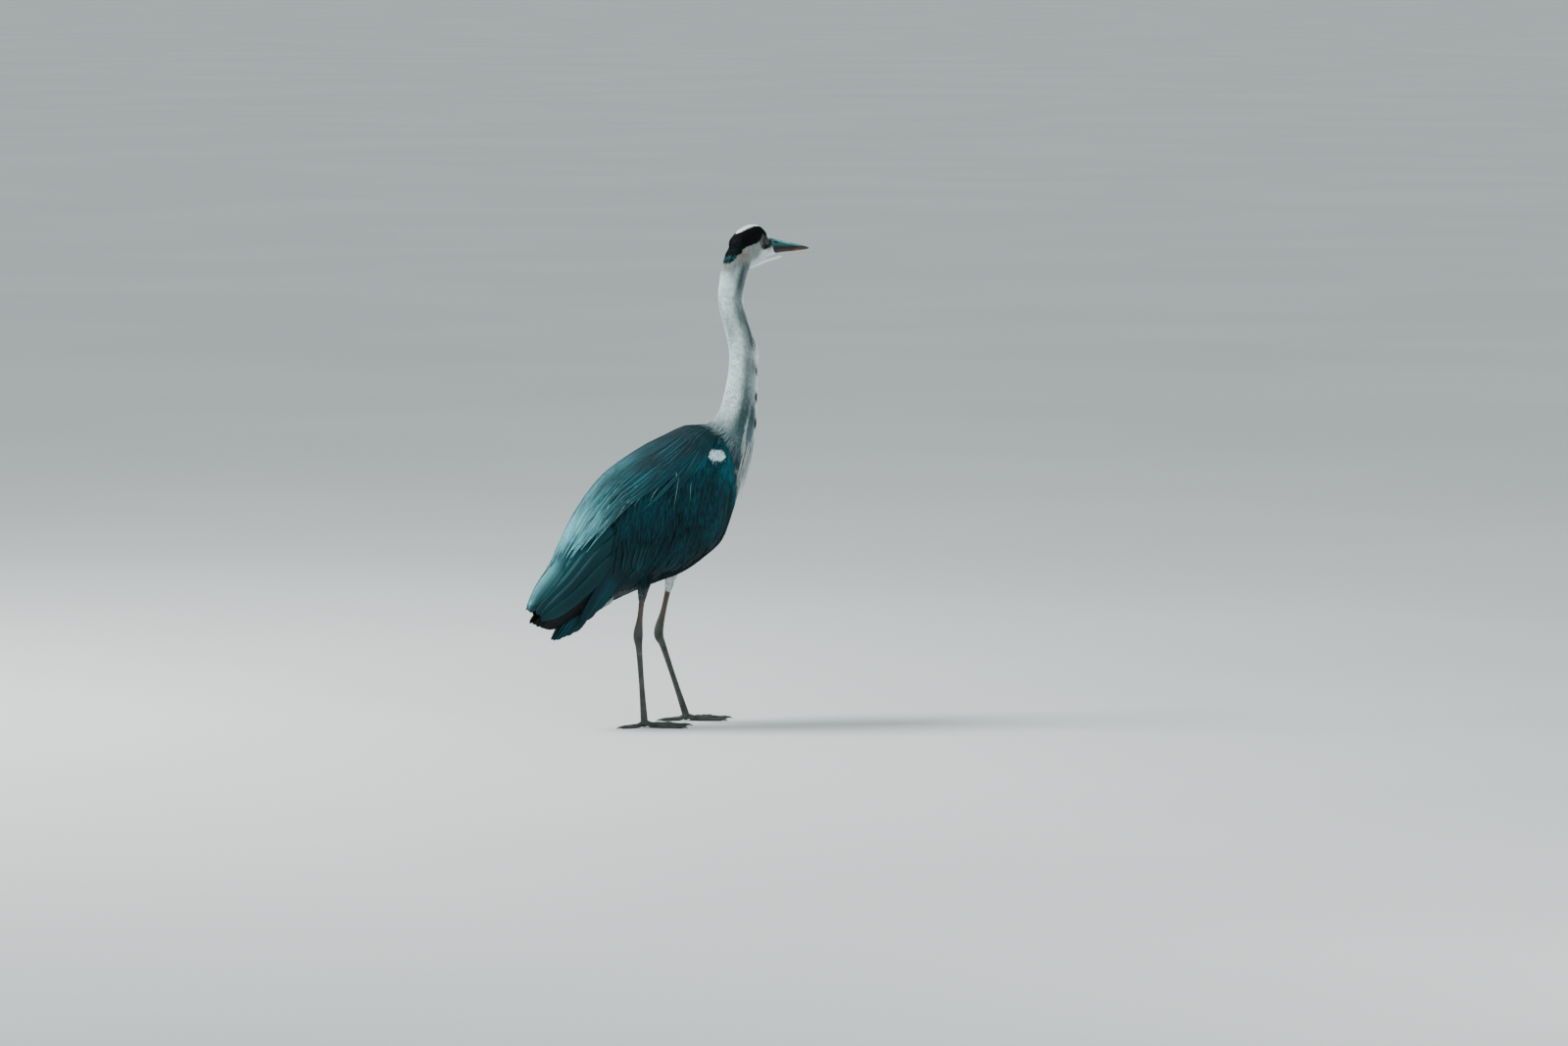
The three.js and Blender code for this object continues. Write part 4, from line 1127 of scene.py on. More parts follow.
def vanes(name, rows, seed, arch, thick, sides=(1, -1)):
    """Rows of vanes on one or both sides as one piece."""
    dice = np.random.default_rng(seed)
    parts, painted, arches = [], [], []
    for row in rows:
        each = {**PLAIN_ROW, "arch": arch, **row}
        for side in sides:
            part = vane_row(side, each, dice)
            parts.append(part)
            arches.append(np.full((len(part[0]), 1, 1), each["arch"]))
            colour = vane_colours(len(part[0]), *each["paints"], dice, **each["edges"])
            # the painted highlight along the ridge, the pale hem of the shoulder plumes, and the painted
            # shade factor
            ridge, hem, deep = light_shade_and_hem(part[0])
            pale = np.clip(each["ridge"] * ridge + each["hem"] * hem, 0, 0.75)
            pale = pale * dice.uniform(1 - each["streaky"], 1, len(pale))[:, None]
            colour = mix(colour, SLATE_PALE, pale[..., None]) * deep[..., None, None]
            painted.append(colour * (1 + each["cloud"] * clouds(part[0]))[..., None, None])
    centres, aside, ups, widths = (np.concatenate(values) for values in zip(*parts))
    colours, arches = np.concatenate(painted), np.concatenate(arches)
    return build_feathers(
        name, centres, aside, ups, widths, VANE_RING, colours, thick, arches, vane_finish, LONG_PATCH
    )


# %% Flight feathers and their coverts
WING_ROWS = {
    "primaries": dict(
        count=8, half=8.5, outline=quill, tilt=-6, flat=0.5, past=(-4, 0, -21), ridge=0,
        roots=[(8.0, 122, -9.5), (8.4, 88, -9.5)], tips=[(11.4, 160, -5), (12, 98, -6)],
        paints=(QUILL_DARK, QUILL_DARK * 2, QUILL_DARK),
    ),
    "secondaries": dict(
        count=18, half=9, outline=quill, tilt=-3, flat=0.4, rise=0.7, ragged=3,
        roots=[(2.2, 104, -9.5), (6.9, 94, -9.5)], tips=[(4.0, 147, -3.6), (9.0, 143, -4.6)],
        paints=(SLATE_DEEP, SLATE_MID, SLATE_DEEP), edges=dict(fringe_width=0.22, vary=0.15),
    ),
    "tertials": dict(
        count=7, half=14, outline=quill, flat=0.04, arch=0.12, past=(-7, 0, -12), ridge=0.75, cloud=0.15,
        roots=[(6.4, 88, -9), (7.4, 28, -9)], tips=[(11.6, 112, -2.8), (11.95, 24, -4.8)],
        paints=(TERTIAL, SLATE_MID, TERTIAL), edges=dict(fringe_width=0.12, vary=0.08),
    ),
    "inner tertials": dict(
        count=6, half=8, outline=quill, arch=0.22, ragged=0.5, past=(-6, 0, -10), ridge=0.85, cloud=0.1,
        roots=[(7.8, 34, -7), (8.0, 4, -7)], tips=[(11.8, 50, -1.4), (11.9, 3, -2.4)],
        paints=(TERTIAL, SLATE_MID, TERTIAL), edges=dict(fringe_width=0.2, vary=0.08),
    ),
    "greater coverts": dict(
        count=17, half=8.5, outline=quill, tilt=-3, flat=0.25, ragged=4,
        roots=[(1.9, 94, -7), (6.8, 76, -7)], tips=[(3.6, 133, -2.2), (8.3, 116, -2.2)],
        paints=(SLATE_DEEP, SLATE_MID, SLATE), edges=dict(fringe_width=0.25, vary=0.15),
    ),
    "median coverts": dict(
        count=20, half=7.5, outline=lance, tilt=-2, flat=0.1, ragged=5,
        roots=[(1.7, 84, -6), (6.0, 62, -6)], tips=[(3.0, 120, -1.4), (7.3, 96, -1.2)],
        paints=(SLATE_DEEP, SLATE, SLATE), edges=dict(fringe_width=0.3, vary=0.15),
    ),
}
SIDES = {"left": 1, "right": -1}
wing_quills = {
    name: vanes("wing_quills_" + name, WING_ROWS.values(), 50, arch=0.045, thick=0.22, sides=(side,))
    for name, side in SIDES.items()
}
print("rows of the wing:", ", ".join(WING_ROWS))

# %% Lesser coverts
# soft small feathers strewn over the rows, so that no row ends in a clean line
SLATE_PAINTS = (SLATE_DEEP, SLATE, SLATE)


def through(*points):
    """A turn that depends on the station, through given pairs of station and turn."""
    return lambda s: np.interp(s, *zip(*points))


def strew(name, count, seed, stations, turn_from, turn_to, *,
          step, long, half, heights, vary, outline_of=lance):
    """Small feathers on the body's outline, between two stations and two lines of turns."""
    dice = np.random.default_rng(seed)
    s = dice.uniform(*stations, count)
    degrees = turn_from(s) + (turn_to(s) - turn_from(s)) * dice.random(count) ** 0.9
    side = np.where(np.arange(count) % 2 == 0, 1, -1)
    shares = np.linspace(0, 1, 5)
    way = np.array(step) * dice.normal(1, 0.08, (count, 2))
    near = outline(s, np.radians(degrees) * side)
    far = outline(s + 0.3 * way[:, 0], np.radians(degrees + 0.3 * way[:, 1]) * side)
    reach = long * dice.uniform(0.7, 1.25, count) / np.linalg.norm(far - near, axis=1) * 0.3
    at_s = s[:, None] + way[:, :1] * reach[:, None] * shares
    at_turn = np.radians(degrees[:, None] + way[:, 1:] * reach[:, None] * shares) * side[:, None]
    low, top = heights
    high = low + (top - low + dice.uniform(-0.4, 0.4, count)[:, None]) * np.minimum(shares * 1.4, 1)
    centres = outline(at_s, at_turn, high)
    sides, ups = set_along(centres, outline(at_s, at_turn, 1.0) - outline(at_s, at_turn, 0.0))
    widths = half * dice.uniform(0.8, 1.2, count)[:, None] * outline_of(shares)
    dark, light, tip = SLATE_PAINTS
    tint = mix(dark, light, dice.random(count))[:, None]
    tint = tint * dice.uniform(1 - vary, 1 + vary, count)[:, None, None]
    tint = tint * (1 + 0.4 * clouds(centres))[..., None]
    # painted shade: darker on the flanks and at the front of the mantle
    tint = tint * light_shade_and_hem(centres)[2][..., None]
    tint = mix(tint, tip, 0.5 * fade(shares, 0.3, 1) * dice.random(count)[:, None])
    white = at_wing_bend(centres.reshape(-1, 3)).reshape(widths.shape)
    colours = mix(tint, CARPAL, white)[:, :, None]
    return build_feathers(
        name, centres, sides, ups, widths, TUFT_RING, colours, TUFT_THICK, 0.12, coat_finish
    )


lesser_coverts = strew(
    "lesser_coverts", 2300, 55, (0.9, 6.6),
    through((0.9, 50), (4, 52), (6.6, 60)), through((0.9, 94), (3, 104), (6.6, 84)),
    step=(1.35, 31), long=36, half=2.9, heights=(-1.8, 0.1), vary=0.15,
)
lower_coverts = strew(
    "lower_coverts", 700, 56, (1.6, 6.0),
    through((1.6, 98), (5, 98), (6, 90)), through((1.6, 118), (4, 122), (6, 108)),
    step=(1.4, 33), long=52, half=3.4, heights=(-2.4, -1.2), vary=0.15,
)
wing_bend = strew(
    "wing_bend_tuft", 420, 57, (1.0, 2.5), through((1.0, 56), (2.5, 56)), through((1.0, 84), (2.5, 84)),
    step=(1.3, 24), long=9, half=1.4, heights=(-0.8, 1.5), vary=0.08, outline_of=hairlike,
)

# %% Shoulder plumes
# count and half width, then station, turn and height of the outer and inner roots and of the
# outer and inner tips, and where they have risen
SHOULDER_TIERS = [
    (26, 4.4, (5.4, 46, -4), (7.0, -6, -4), (9.1, 54, 0.6), (10.15, -4, 5.5), 0.7),
    (28, 3.8, (4.3, 46, -4), (6.0, -6, -4), (8.4, 60, 1.4), (9.9, -4, 5.5), 0.7),
    (30, 3.4, (3.3, 48, -4), (4.9, -6, -4), (7.5, 64, 2.0), (9.2, -4, 4.2), 0.6),
    (36, 3.5, (2.4, 50, -4), (3.8, -6, -4), (6.3, 68, 2.4), (8.2, -4, 3.2), 0.3),
    (38, 3.4, (1.6, 48, -4), (2.6, -6, -4), (5.0, 74, 2.2), (6.8, -4, 3.2), 0.3),
    (38, 3.4, (1.1, 46, -4), (1.6, -6, -4), (3.4, 70, 1.2), (5.0, -4, 2.2), 0.3),
]
TIER_TIPS = [mix(SLATE_MID, SLATE_PALE, pale) for pale in (0.7, 0.6, 0.4, 0)] + [SLATE, SLATE]
SHOULDER_ROWS = [
    dict(
        count=count, half=half, outline=lappet, bow=3, ragged=5, rise=rise, ridge=0.55, hem=0.8, streaky=0.85,
        roots=[root_out, root_in], tips=[tip_out, tip_in],
        paints=(mix(SLATE_DEEP, SLATE, 0.5), SLATE_MID, tip),
        edges=dict(from_tip=0.3, fringe_width=0.45),
    )
    for (count, half, root_out, root_in, tip_out, tip_in, rise), tip in zip(SHOULDER_TIERS, TIER_TIPS)
]
shoulder_plumes = vanes("shoulder_plumes", SHOULDER_ROWS[:3], 60, arch=0.12, thick=0.2)
upper_plumes = vanes("upper_shoulder_plumes", SHOULDER_ROWS[3:], 61, arch=0.12, thick=0.2)

# %% Silver streaks
# thin pale plumes that stray over the lower edge of the shoulder: station and turn of the root
# and of the tip of each
STREAKS = [
    (3.75, 60, 4.7, 86), (3.8, 52, 4.1, 66), (3.5, 74, 3.9, 88), (5.1, 42, 6.3, 63),
    (4.9, 58, 6.0, 66), (4.6, 62, 5.4, 70), (5.6, 54, 7.0, 65), (6.2, 52, 7.7, 64),
    (6.6, 44, 8.2, 59), (7.2, 38, 8.9, 50), (5.9, 32, 7.4, 52), (4.6, 34, 5.4, 50),
    (7.0, 22, 8.7, 36), (7.6, 14, 9.2, 24), (6.6, 56, 8.0, 63), (5.4, 60, 6.5, 64),
]
dice = np.random.default_rng(63)
STREAK_ROWS = [
    dict(
        count=1, half=0.8, outline=plume, rise=0.2, cloud=0, ridge=0, bow=dice.uniform(-3, 3),
        roots=[(s, turn, 0.8)] * 2, tips=[(end, low, 2.4)] * 2,
        paints=(SLATE_MID, SLATE_PALE, BREAST), edges=dict(from_tip=0.0),
    )
    for s, turn, end, low in STREAKS
]
streaks = vanes("silver_streaks", STREAK_ROWS, 64, arch=0.2, thick=0.25)

# %% [markdown]
# ## Tail
# Twelve feathers are stacked like a hand of cards: the middle pair lies on top and each outer
# one a step lower.

# %% Tail feathers
TAIL_COUNT = 12
dice = np.random.default_rng(70)
tail_along = unit(TAIL_TIP - TAIL_ROOT)
tail_up = np.array([tail_along[2], 0, -tail_along[0]])
tail_share = np.linspace(-1, 1, TAIL_COUNT)
rank = np.floor(np.abs(np.arange(TAIL_COUNT) - (TAIL_COUNT - 1) / 2))
level = 2.8 - rank - np.where(tail_share > 0, 0, 0.5)
roof = 15 * (1 - tail_share**2)  # the middle feathers ride high, as the ridge of a roof
starts = TAIL_ROOT + tail_share[:, None] * [0, 14, 0] + tail_up * (level * 1.3 + 0.4 * roof)[:, None]
ends = TAIL_TIP + tail_share[:, None] * [0, 15, 0] + tail_up * (level * 1.9 + roof)[:, None]
ends = ends + tail_along * (dice.uniform(-1.5, 1.5, TAIL_COUNT) - 30 * tail_share**2 - 1)[:, None]
tail_centres = starts[:, None] + (ends - starts)[:, None] * VANE_SHARES[None, :, None]
lean = tail_up + np.array([0, 2.2, 0]) * tail_share[:, None]
tail_widths = np.tile(np.maximum(12 * quill(VANE_SHARES), 0.1), (TAIL_COUNT, 1))
tail_paint = vane_colours(TAIL_COUNT, TAIL_GREY, SLATE_MID, SLATE_DEEP, dice, 0.12, vary=0.12)
tail_feathers = build_feathers(
    "tail_feathers", tail_centres, *set_along(tail_centres, lean[:, None]), tail_widths, VANE_RING,
    tail_paint, 0.35, 0.1, vane_finish, LONG_PATCH,
)

# %% [markdown]
# ## Plumes that hang free
# The innermost wing feathers hang past the body along the tail, the nape carries a short black
# crest, the breast long pale plumes and the chin a tuft of white ones. Each is a narrow vane
# along a smooth line.

# %% Line vanes


def line_vanes(name, lines, ways_out, half, paints, seed, *,
               arch=0.2, patch=(1, 2), outline_of=plume, finish=vane_finish):
    """Narrow vanes along smooth lines, each a list of points in millimetres of the drawing."""
    dice = np.random.default_rng(seed)
    centres = np.stack([smooth_line(line, VANE_SHARES) for line in lines])
    sides, ups = set_along(centres, np.array(ways_out)[:, None])
    widths = np.tile(half * outline_of(VANE_SHARES), (len(lines), 1))
    widths = np.maximum(widths * dice.uniform(0.95, 1.05, widths.shape), 0.06)
    colours = vane_colours(len(lines), *paints, dice, 0.14, from_tip=0.6, vary=0.12)
    return build_feathers(name, centres, sides, ups, widths, VANE_RING, colours, 0.25, arch, finish, patch)


# %% Hanging secondaries
dice = np.random.default_rng(66)
lines, ways = [], []
for side in SIDES.values():
    for share in np.linspace(0, 1, 9):
        root = outline(6.3 + 0.3 * share, math.radians(102 - 14 * share) * side, -7.0)
        bend = outline(7.7 + 0.4 * share, math.radians(116 - 14 * share) * side, -2.5)
        low = outline(8.5 + 0.4 * share, math.radians(134 - 16 * share) * side, -2.0)
        tip = np.array([-142 - 34 * share, side * (26 + 5 * share), 210 - 30 * share])
        tip = tip + dice.uniform(-3, 3, 3)
        lines.append([root, bend, low, low * 0.4 + tip * 0.6, tip])
        ways.append(unit(np.array([-0.25, side, 0.1])))
hanging = line_vanes(
    "hanging_secondaries", lines, ways, 7.5, (SLATE_DEEP, SLATE_MID, SLATE_DEEP), 67,
    arch=0.08, patch=LONG_PATCH, outline_of=quill,
)

# %% Crest
# long narrow nape feathers, laid on the skin like the rest and lifted a little
crest = lay(
    "crest_plumes", sow("crest", 2.1, 80), 13.0, 0.9, 1.3, BLACK, 81, hairlike,
    sections=6, unruly=4, vary=0.2, tip=NAPE_BLUE * 0.3,
)

# %% Breast plumes
dice = np.random.default_rng(90)
lines, ways = [], []
for i in range(130):
    side = dice.uniform(-1, 1)
    turn = math.radians(180 - 60 * side)
    root_at = 2.5 - 0.5 * abs(side) + dice.uniform(-0.5, 0.5)
    root = neck(root_at, turn, -3.0)
    knee = neck(root_at - 0.8, turn, 0.8 + dice.uniform(0, 1.0))
    away = unit(neck(1.6, turn, 3.0) - neck(1.6, turn, -3.0))
    length = (36 - 18 * abs(side)) * dice.uniform(0.35, 1.0) * (2.2 if i % 26 == 0 else 1)
    tip = knee + np.array([-0.2 * length + dice.uniform(-2, 1), side * 3, -length]) + away * 0.6
    lines.append([root, root * 0.3 + knee * 0.7 + away * 0.8, knee * 0.6 + tip * 0.4 + away * 0.5, tip])
    ways.append(away)
breast_paints = (mix(NECK_GREY, BREAST, 0.5), BREAST, BREAST)
breast_plumes = line_vanes("breast_plumes", lines, ways, 1.0, breast_paints, 91)

# %% Chin tuft
# white bristly feathers of the throat draw together into one lock under the bill
CHIN_LINE = [(-36, -47), (-24, -44.5), (-8.5, -40), (8, -35), (26, -31.5), (51, -26.8)]
CHIN_END = CHIN_LINE[-1][0]
dice = np.random.default_rng(95)
lines, ways = [], []
for i in range(220):
    round_lock = dice.uniform(0, 2 * math.pi)
    outward = np.array([0, math.cos(round_lock), math.sin(round_lock)])
    inner = i % 4 == 0  # a quarter of them fill the end of the lock
    start = dice.uniform(22, 38) if inner else dice.uniform(-30, 38)
    xs = start + np.array([0, 0.33, 0.7, 1.0]) * dice.uniform(9, 15)
    xs[-1] = min(xs[-1], CHIN_END)
    lock_half = np.interp(xs, [-36, -24, 0, 44, 52], [0.8, 2.0, 2.2, 1.5, 0.2]) * [0.3, 0.85, 1.0, 0.9]
    lock_half = lock_half * (dice.uniform(0.1, 0.7) if inner else 1)
    middle = np.column_stack([xs, 0.03 * (xs - CHIN_END), np.interp(xs, *zip(*CHIN_LINE))])
    lines.append(from_head(middle + lock_half[:, None] * outward))
    ways.append(HEAD_AXES @ outward)
chin = line_vanes("chin_tuft", lines, ways, 1.6, (WHITEST,) * 3, 96, arch=0.25, finish=coat_finish)

# %% Undertail tuft
dice = np.random.default_rng(98)
lines, ways = [], []
for _ in range(90):
    side = dice.uniform(-1, 1)
    start = dice.uniform(8.7, 9.8)
    root = trunk(10.4 - (9.6 - start) * 0.8, math.radians(180 - 40 * side), -3.0)
    fall = np.array([-0.72, 0.12 * side, -0.55]) * dice.uniform(16, 34)
    lines.append([root, root + fall * 0.5 + [0, side * 2, -1.5], root + fall])
    ways.append(unit(np.array([0.2, side, -0.9])))
vent = line_vanes("undertail_tuft", lines, ways, 1.5, (BELLY, BREAST, BREAST), 99, finish=coat_finish)

# %% [markdown]
# ## Bill
# The bill is one horny wedge, parted along the mouth. It is cast whole, cut by two planes a hair
# apart, and its nostrils are pressed in as slits.

# %% Cast and part the bill
GAPE = np.array([-4.0, 0, -10.8])
BILL_TIP = np.array([113.0, 0, -14.5])
mouth_way = unit(np.array([GAPE[2] - BILL_TIP[2], 0, BILL_TIP[0] - GAPE[0]]))
NOSTRIL = {"x": 31, "z": -2.0, "long": 13, "high": 1.3, "deep": 2.2, "fall": 0.14}
GROOVE = {"high": 2.2, "deep": 0.45}
HALF_GAP = 0.15


def press_nostrils(piece):
    """Slits on both sides, and the shallow groove that runs on from each."""
    points = to_head(drawn(corners(piece)))
    x, y, z = points.T
    line = NOSTRIL["z"] - (x - NOSTRIL["x"]) * NOSTRIL["fall"]
    ahead, above = (x - NOSTRIL["x"]) / (NOSTRIL["long"] * 0.55), (z - line) / NOSTRIL["high"]
    slit = np.exp(-(ahead**4) - above**2)
    groove = np.exp(-((z - line) / GROOVE["high"]) ** 2) * fade(x, 22, 30) * ebb(x, 45, 75)
    points[:, 1] -= np.sign(y) * (NOSTRIL["deep"] * slit + GROOVE["deep"] * groove) * fade(np.abs(y), 1.5, 4)
    move_corners(piece, placed(from_head(points)))


def half_bill(name, way):
    piece = cast(name, bill, 90, 72)
    press_nostrils(piece)
    plane_at = Vector(placed(from_head(GAPE + mouth_way * way * HALF_GAP)))
    normal = Vector(HEAD_AXES @ (mouth_way * way))
    edit_all(piece, bpy.ops.mesh.bisect, plane_co=plane_at, plane_no=normal, use_fill=True, clear_inner=True)
    face_outwards(piece)
    take(piece)
    bpy.ops.object.shade_smooth_by_angle(angle=math.radians(40))
    return piece


bill_upper = half_bill("bill_upper_horn", 1)
bill_lower = half_bill("bill_lower_horn", -1)
print("the bill's halves have", len(bill_upper.data.polygons), "and", len(bill_lower.data.polygons), "faces")

# %% Places on the head for shaders


def along_bill(finish):
    """The place as seen from between the eyes, and its distance ahead and height, in metres."""
    shifted = finish.vector("SUBTRACT", finish.place, tuple(placed(HEAD_AT)))["Vector"]
    turning = {"Vector": shifted, "Angle": -HEAD_TURN}
    turned = finish.node("VectorRotate", turning, rotation_type="Z_AXIS").outputs[0]
    split = finish.node("SeparateXYZ", {0: turned}).outputs
    return turned, split["X"], split["Z"]


def between(finish, value, start, end):
    """0 below start, 1 above end, both in millimetres, and smooth between."""
    limits = {"Value": value, "From Min": start * MM, "From Max": end * MM}
    return finish.node("MapRange", limits, interpolation_type="SMOOTHSTEP").outputs[0]


# %% Horn of the bill
MOUTH_FALL = 0.0316  # how far the mouth's line comes down for each millimetre ahead
MOUTH_BELOW = 10.93  # its depth in millimetres under the middle of the head
RIDGE_FALL = 0.172  # how fast the ridge comes down to the mouth's line
SLIT_HALF = (7.6, 1.5)  # half the length and height of the nostril's slit of painted shade


def horn(name, root, middle, tip, edge, gape_shade_at, ridge_highlight, ridge_at):
    """Colours from root to tip, a painted highlight along the ridge, and painted shade along the mouth's edge
    that starts at a height over the mouth.
    """
    finish = Finish(name)
    place, x, z = along_bill(finish)
    stretched = finish.node("Mapping", {"Vector": place, "Scale": (70, 500, 500)}).outputs[0]
    grain = finish.noise(1.0, 6.0, stretched)
    colour = finish.ramp(between(finish, x, 12, 112), [(0.0, root), (0.5, middle), (1.0, tip)])
    over_mouth = finish.plus(finish.plus(z, finish.times(x, MOUTH_FALL)), MOUTH_BELOW * MM)
    ridge = finish.plus(over_mouth, finish.times(x, RIDGE_FALL))
    # a painted highlight along the ridge of the bill
    shine = finish.times(between(finish, ridge, *ridge_at), between(finish, x, 18, 45))
    colour = finish.blend("MIX", finish.times(shine, 0.8), colour, ridge_highlight)
    # painted shade along the mouth's edge
    rim = between(finish, over_mouth, *gape_shade_at)
    colour = finish.blend("MIX", finish.times(rim, 0.92), colour, edge)
    colour = finish.shaded(colour, grain, [(0.3, 0.66), (0.7, 1.2)], 0.8)
    colour = finish.shaded(colour, finish.noise(110.0, 4.0, place), [(0.35, 0.72), (0.65, 1.12)], 0.8)
    rough = finish.ramp(grain, [(0.3, 0.3), (0.8, 0.48)])
    finish.set({"Base Color": colour, "Roughness": rough, "Specular IOR Level": 0.3})
    finish.bump(grain, 0.00012)
    return finish, colour, rough, x, z


# the upper bill: teal horn, a painted highlight along its ridge, and painted shade along the mouth
upper, upper_colour, upper_rough, bill_x, bill_z = horn(
    "bill_horn_upper", paint(34, 98, 102), paint(36, 94, 96), paint(66, 80, 77),
    paint(8, 26, 30), (9.0, 0.8), paint(142, 204, 198), (15.5, 21.0),
)
# the nostril's slit is darkened with painted shade, and slopes with the ridge of the bill
sloping = upper.minus(bill_z, upper.times(bill_x, -NOSTRIL["fall"]))
slit_level = NOSTRIL["z"] + NOSTRIL["fall"] * NOSTRIL["x"]
slit_up = upper.calc("DIVIDE", upper.minus(sloping, slit_level * MM), SLIT_HALF[1] * MM)
slit_on = upper.calc("DIVIDE", upper.minus(bill_x, NOSTRIL["x"] * MM), SLIT_HALF[0] * MM)
slit = upper.plus(upper.times(slit_up, slit_up), upper.times(slit_on, slit_on))
slit_shade = upper.ramp(slit, [(0.45, 0.08), (1.0, 1.0)])
slit_dull = upper.times(upper.minus(1.0, slit_shade), 0.6)
upper.set({
    "Base Color": upper.blend("MULTIPLY", 1.0, upper_colour, slit_shade),
    "Roughness": upper.calc("ADD", upper_rough, slit_dull, clamp=True),
})
upper.put_on(bill_upper)
# the lower bill: a darker root that is painted shade, reddish horn to the tip, and painted shade along the
# mouth
lower, *_ = horn(
    "bill_horn_lower", paint(22, 28, 25), paint(62, 36, 28), paint(132, 74, 48),
    paint(36, 24, 21), (-2.6, -0.2), paint(158, 98, 66), (60, 80),
)
lower.put_on(bill_lower)

# %% [markdown]
# ## Eyes and lids
# An eye is a glossy ball. Its iris is painted by angle from the way it looks: black pupil, pale
# yellow iris with fine spokes, dark rim. A low ring of bare skin stands round it.

# %% Eyes
EYE = {"radius": 7.4, "out": 11.6, "lid": 5.5, "lid_thick": 0.85, "lid_out": 5.3}


def look_of(side):
    return unit(np.array([0.26, side, 0.12]))


def eye_finish(name, side):
    finish = Finish("eye_" + name)
    place, _, _ = along_bill(finish)
    local = finish.vector("SUBTRACT", place, (0, side * EYE["out"] * MM, 0))["Vector"]
    way = finish.vector("NORMALIZE", local)["Vector"]
    facing = finish.vector("DOT_PRODUCT", way, tuple(look_of(side)))["Value"]
    iris = finish.ramp(finish.noise(26.0, 3.0, way), [(0.3, paint(34, 38, 20)), (0.7, paint(74, 78, 46))])
    pupil = finish.ramp(facing, [(0.935, 0.0), (0.942, 1.0)], "LINEAR")
    rim = finish.ramp(facing, [(0.76, 1.0), (0.80, 0.0)], "LINEAR")
    colour = finish.blend("MIX", pupil, finish.blend("MIX", rim, iris, paint(28, 26, 20)), paint(4, 4, 5))
    finish.set({"Base Color": colour, "Roughness": 0.07, "Specular IOR Level": 0.2})
    finish.set({"Coat Weight": 0.35, "Coat Roughness": 0.02})
    return finish


def make_eye(name, side):
    fresh()
    bpy.ops.mesh.primitive_uv_sphere_add(segments=48, ring_count=24, radius=EYE["radius"] * MM)
    eye = bpy.context.object
    eye.name = "eyeball_" + name
    way = corners(eye) / (EYE["radius"] * MM)
    bulge = 1 + 0.05 * fade(way @ look_of(side), 0.8, 0.95)
    local = way * bulge[:, None] * EYE["radius"] + [0, side * EYE["out"], 0]
    move_corners(eye, placed(from_head(local)))
    eye_finish(name, side).put_on(eye)
    return smooth(eye)


eyes = {name: make_eye(name, side) for name, side in SIDES.items()}
print("the eyes are", round(2 * EYE["radius"], 1), "mm across")

# %% Lids
lid_finish = Finish("lid_skin")
folds = lid_finish.noise(900.0, 4.0)
lid_tone = lid_finish.ramp(folds, [(0.3, paint(10, 14, 13)), (0.7, paint(32, 38, 34))])
lid_finish.set({"Base Color": lid_tone, "Roughness": 0.5})
lid_finish.bump(folds, 0.0003)


def make_lids(name, side):
    fresh()
    bpy.ops.mesh.primitive_torus_add(
        major_radius=EYE["lid"] * MM, minor_radius=EYE["lid_thick"] * MM, major_segments=56, minor_segments=14
    )
    lids = bpy.context.object
    lids.name = "lids_" + name
    look = Vector(look_of(side))
    turn = np.array(look.to_track_quat("Z", "X").to_matrix())
    ring = corners(lids) / MM
    ring[:, 1] *= 0.9
    local = ring @ turn.T + [0, side * EYE["out"], 0] + np.array(look) * EYE["lid_out"]
    move_corners(lids, placed(from_head(local)))
    lid_finish.put_on(lids)
    return smooth(lids)


lids = {name: make_lids(name, side) for name, side in SIDES.items()}

# %% [markdown]
# ## Legs, toes and claws
# A heron's leg is bare from above the ankle down. Broad scutes cross the front of the tarsus and
# the tops of the toes, and small round scales cover the rest. The scutes are pushed out of the
# cast limb, and the small scales are bump.

# %% Leg forms
SHANK, ANKLE, TARSUS = 4.7, 8.2, 4.6
TOES = {"inner": (-27, 62, 3.9), "middle": (2, 76, 4.1), "outer": (32, 66, 3.9), "hind": (174, 41, 3.9)}
TOE_BONES = (2, 3, 4, 1)
TOE_START = 9  # how high a toe begins within the foot
CLAW = {"length": 13, "half": 2.3}
PAD = {"radius": 7.2, "high": 8.2}
SUNK = 0.8  # a toe's middle lies this share of its half thickness over the floor


def leg_form(leg):
    points = [
        spot(leg, "knee", "ankle", 0.1), spot(leg, "knee", "ankle", 0.6), spot(leg, "ankle"),
        spot(leg, "ankle", "foot", 0.18), spot(leg, "ankle", "foot", 0.6), spot(leg, "foot"),
    ]
    return limb_of(points, (SHANK + 0.6, SHANK, ANKLE, TARSUS + 0.8, TARSUS, TARSUS + 1.6))


def ahead_of(leg, turn):
    """Places at a distance from the foot, in the direction of one toe, and at a height."""
    start = spot(leg, "foot") * [1, 1, 0]
    way = np.array([math.cos(math.radians(turn)), leg["side"] * math.sin(math.radians(turn)), 0])
    return lambda distance, height: start + way * distance + [0, 0, height]


def toe_form(leg, turn, long, half):
    place = ahead_of(leg, turn)
    halves = (half + 1, half, half + 0.3, half - 0.4, half - 0.9)
    on_floor = zip((0.5 * long, 0.78 * long, long + 1), halves[2:])
    points = [place(0, TOE_START), place(0.25 * long, half + 0.6)]
    points += [place(distance, SUNK * thick) for distance, thick in on_floor]
    return limb_of(points, halves)


def claw_form(leg, turn, long, half):
    place = ahead_of(leg, turn)
    height = SUNK * (half - 0.9)
    points = [place(long - 3, height), place(long + 3, height + 0.6), place(long + 8, height + 0.1)]
    points.append(place(long + CLAW["length"], 0.7))
    return limb_of(points, (CLAW["half"], CLAW["half"] * 0.9, CLAW["half"] * 0.6, 0.25))


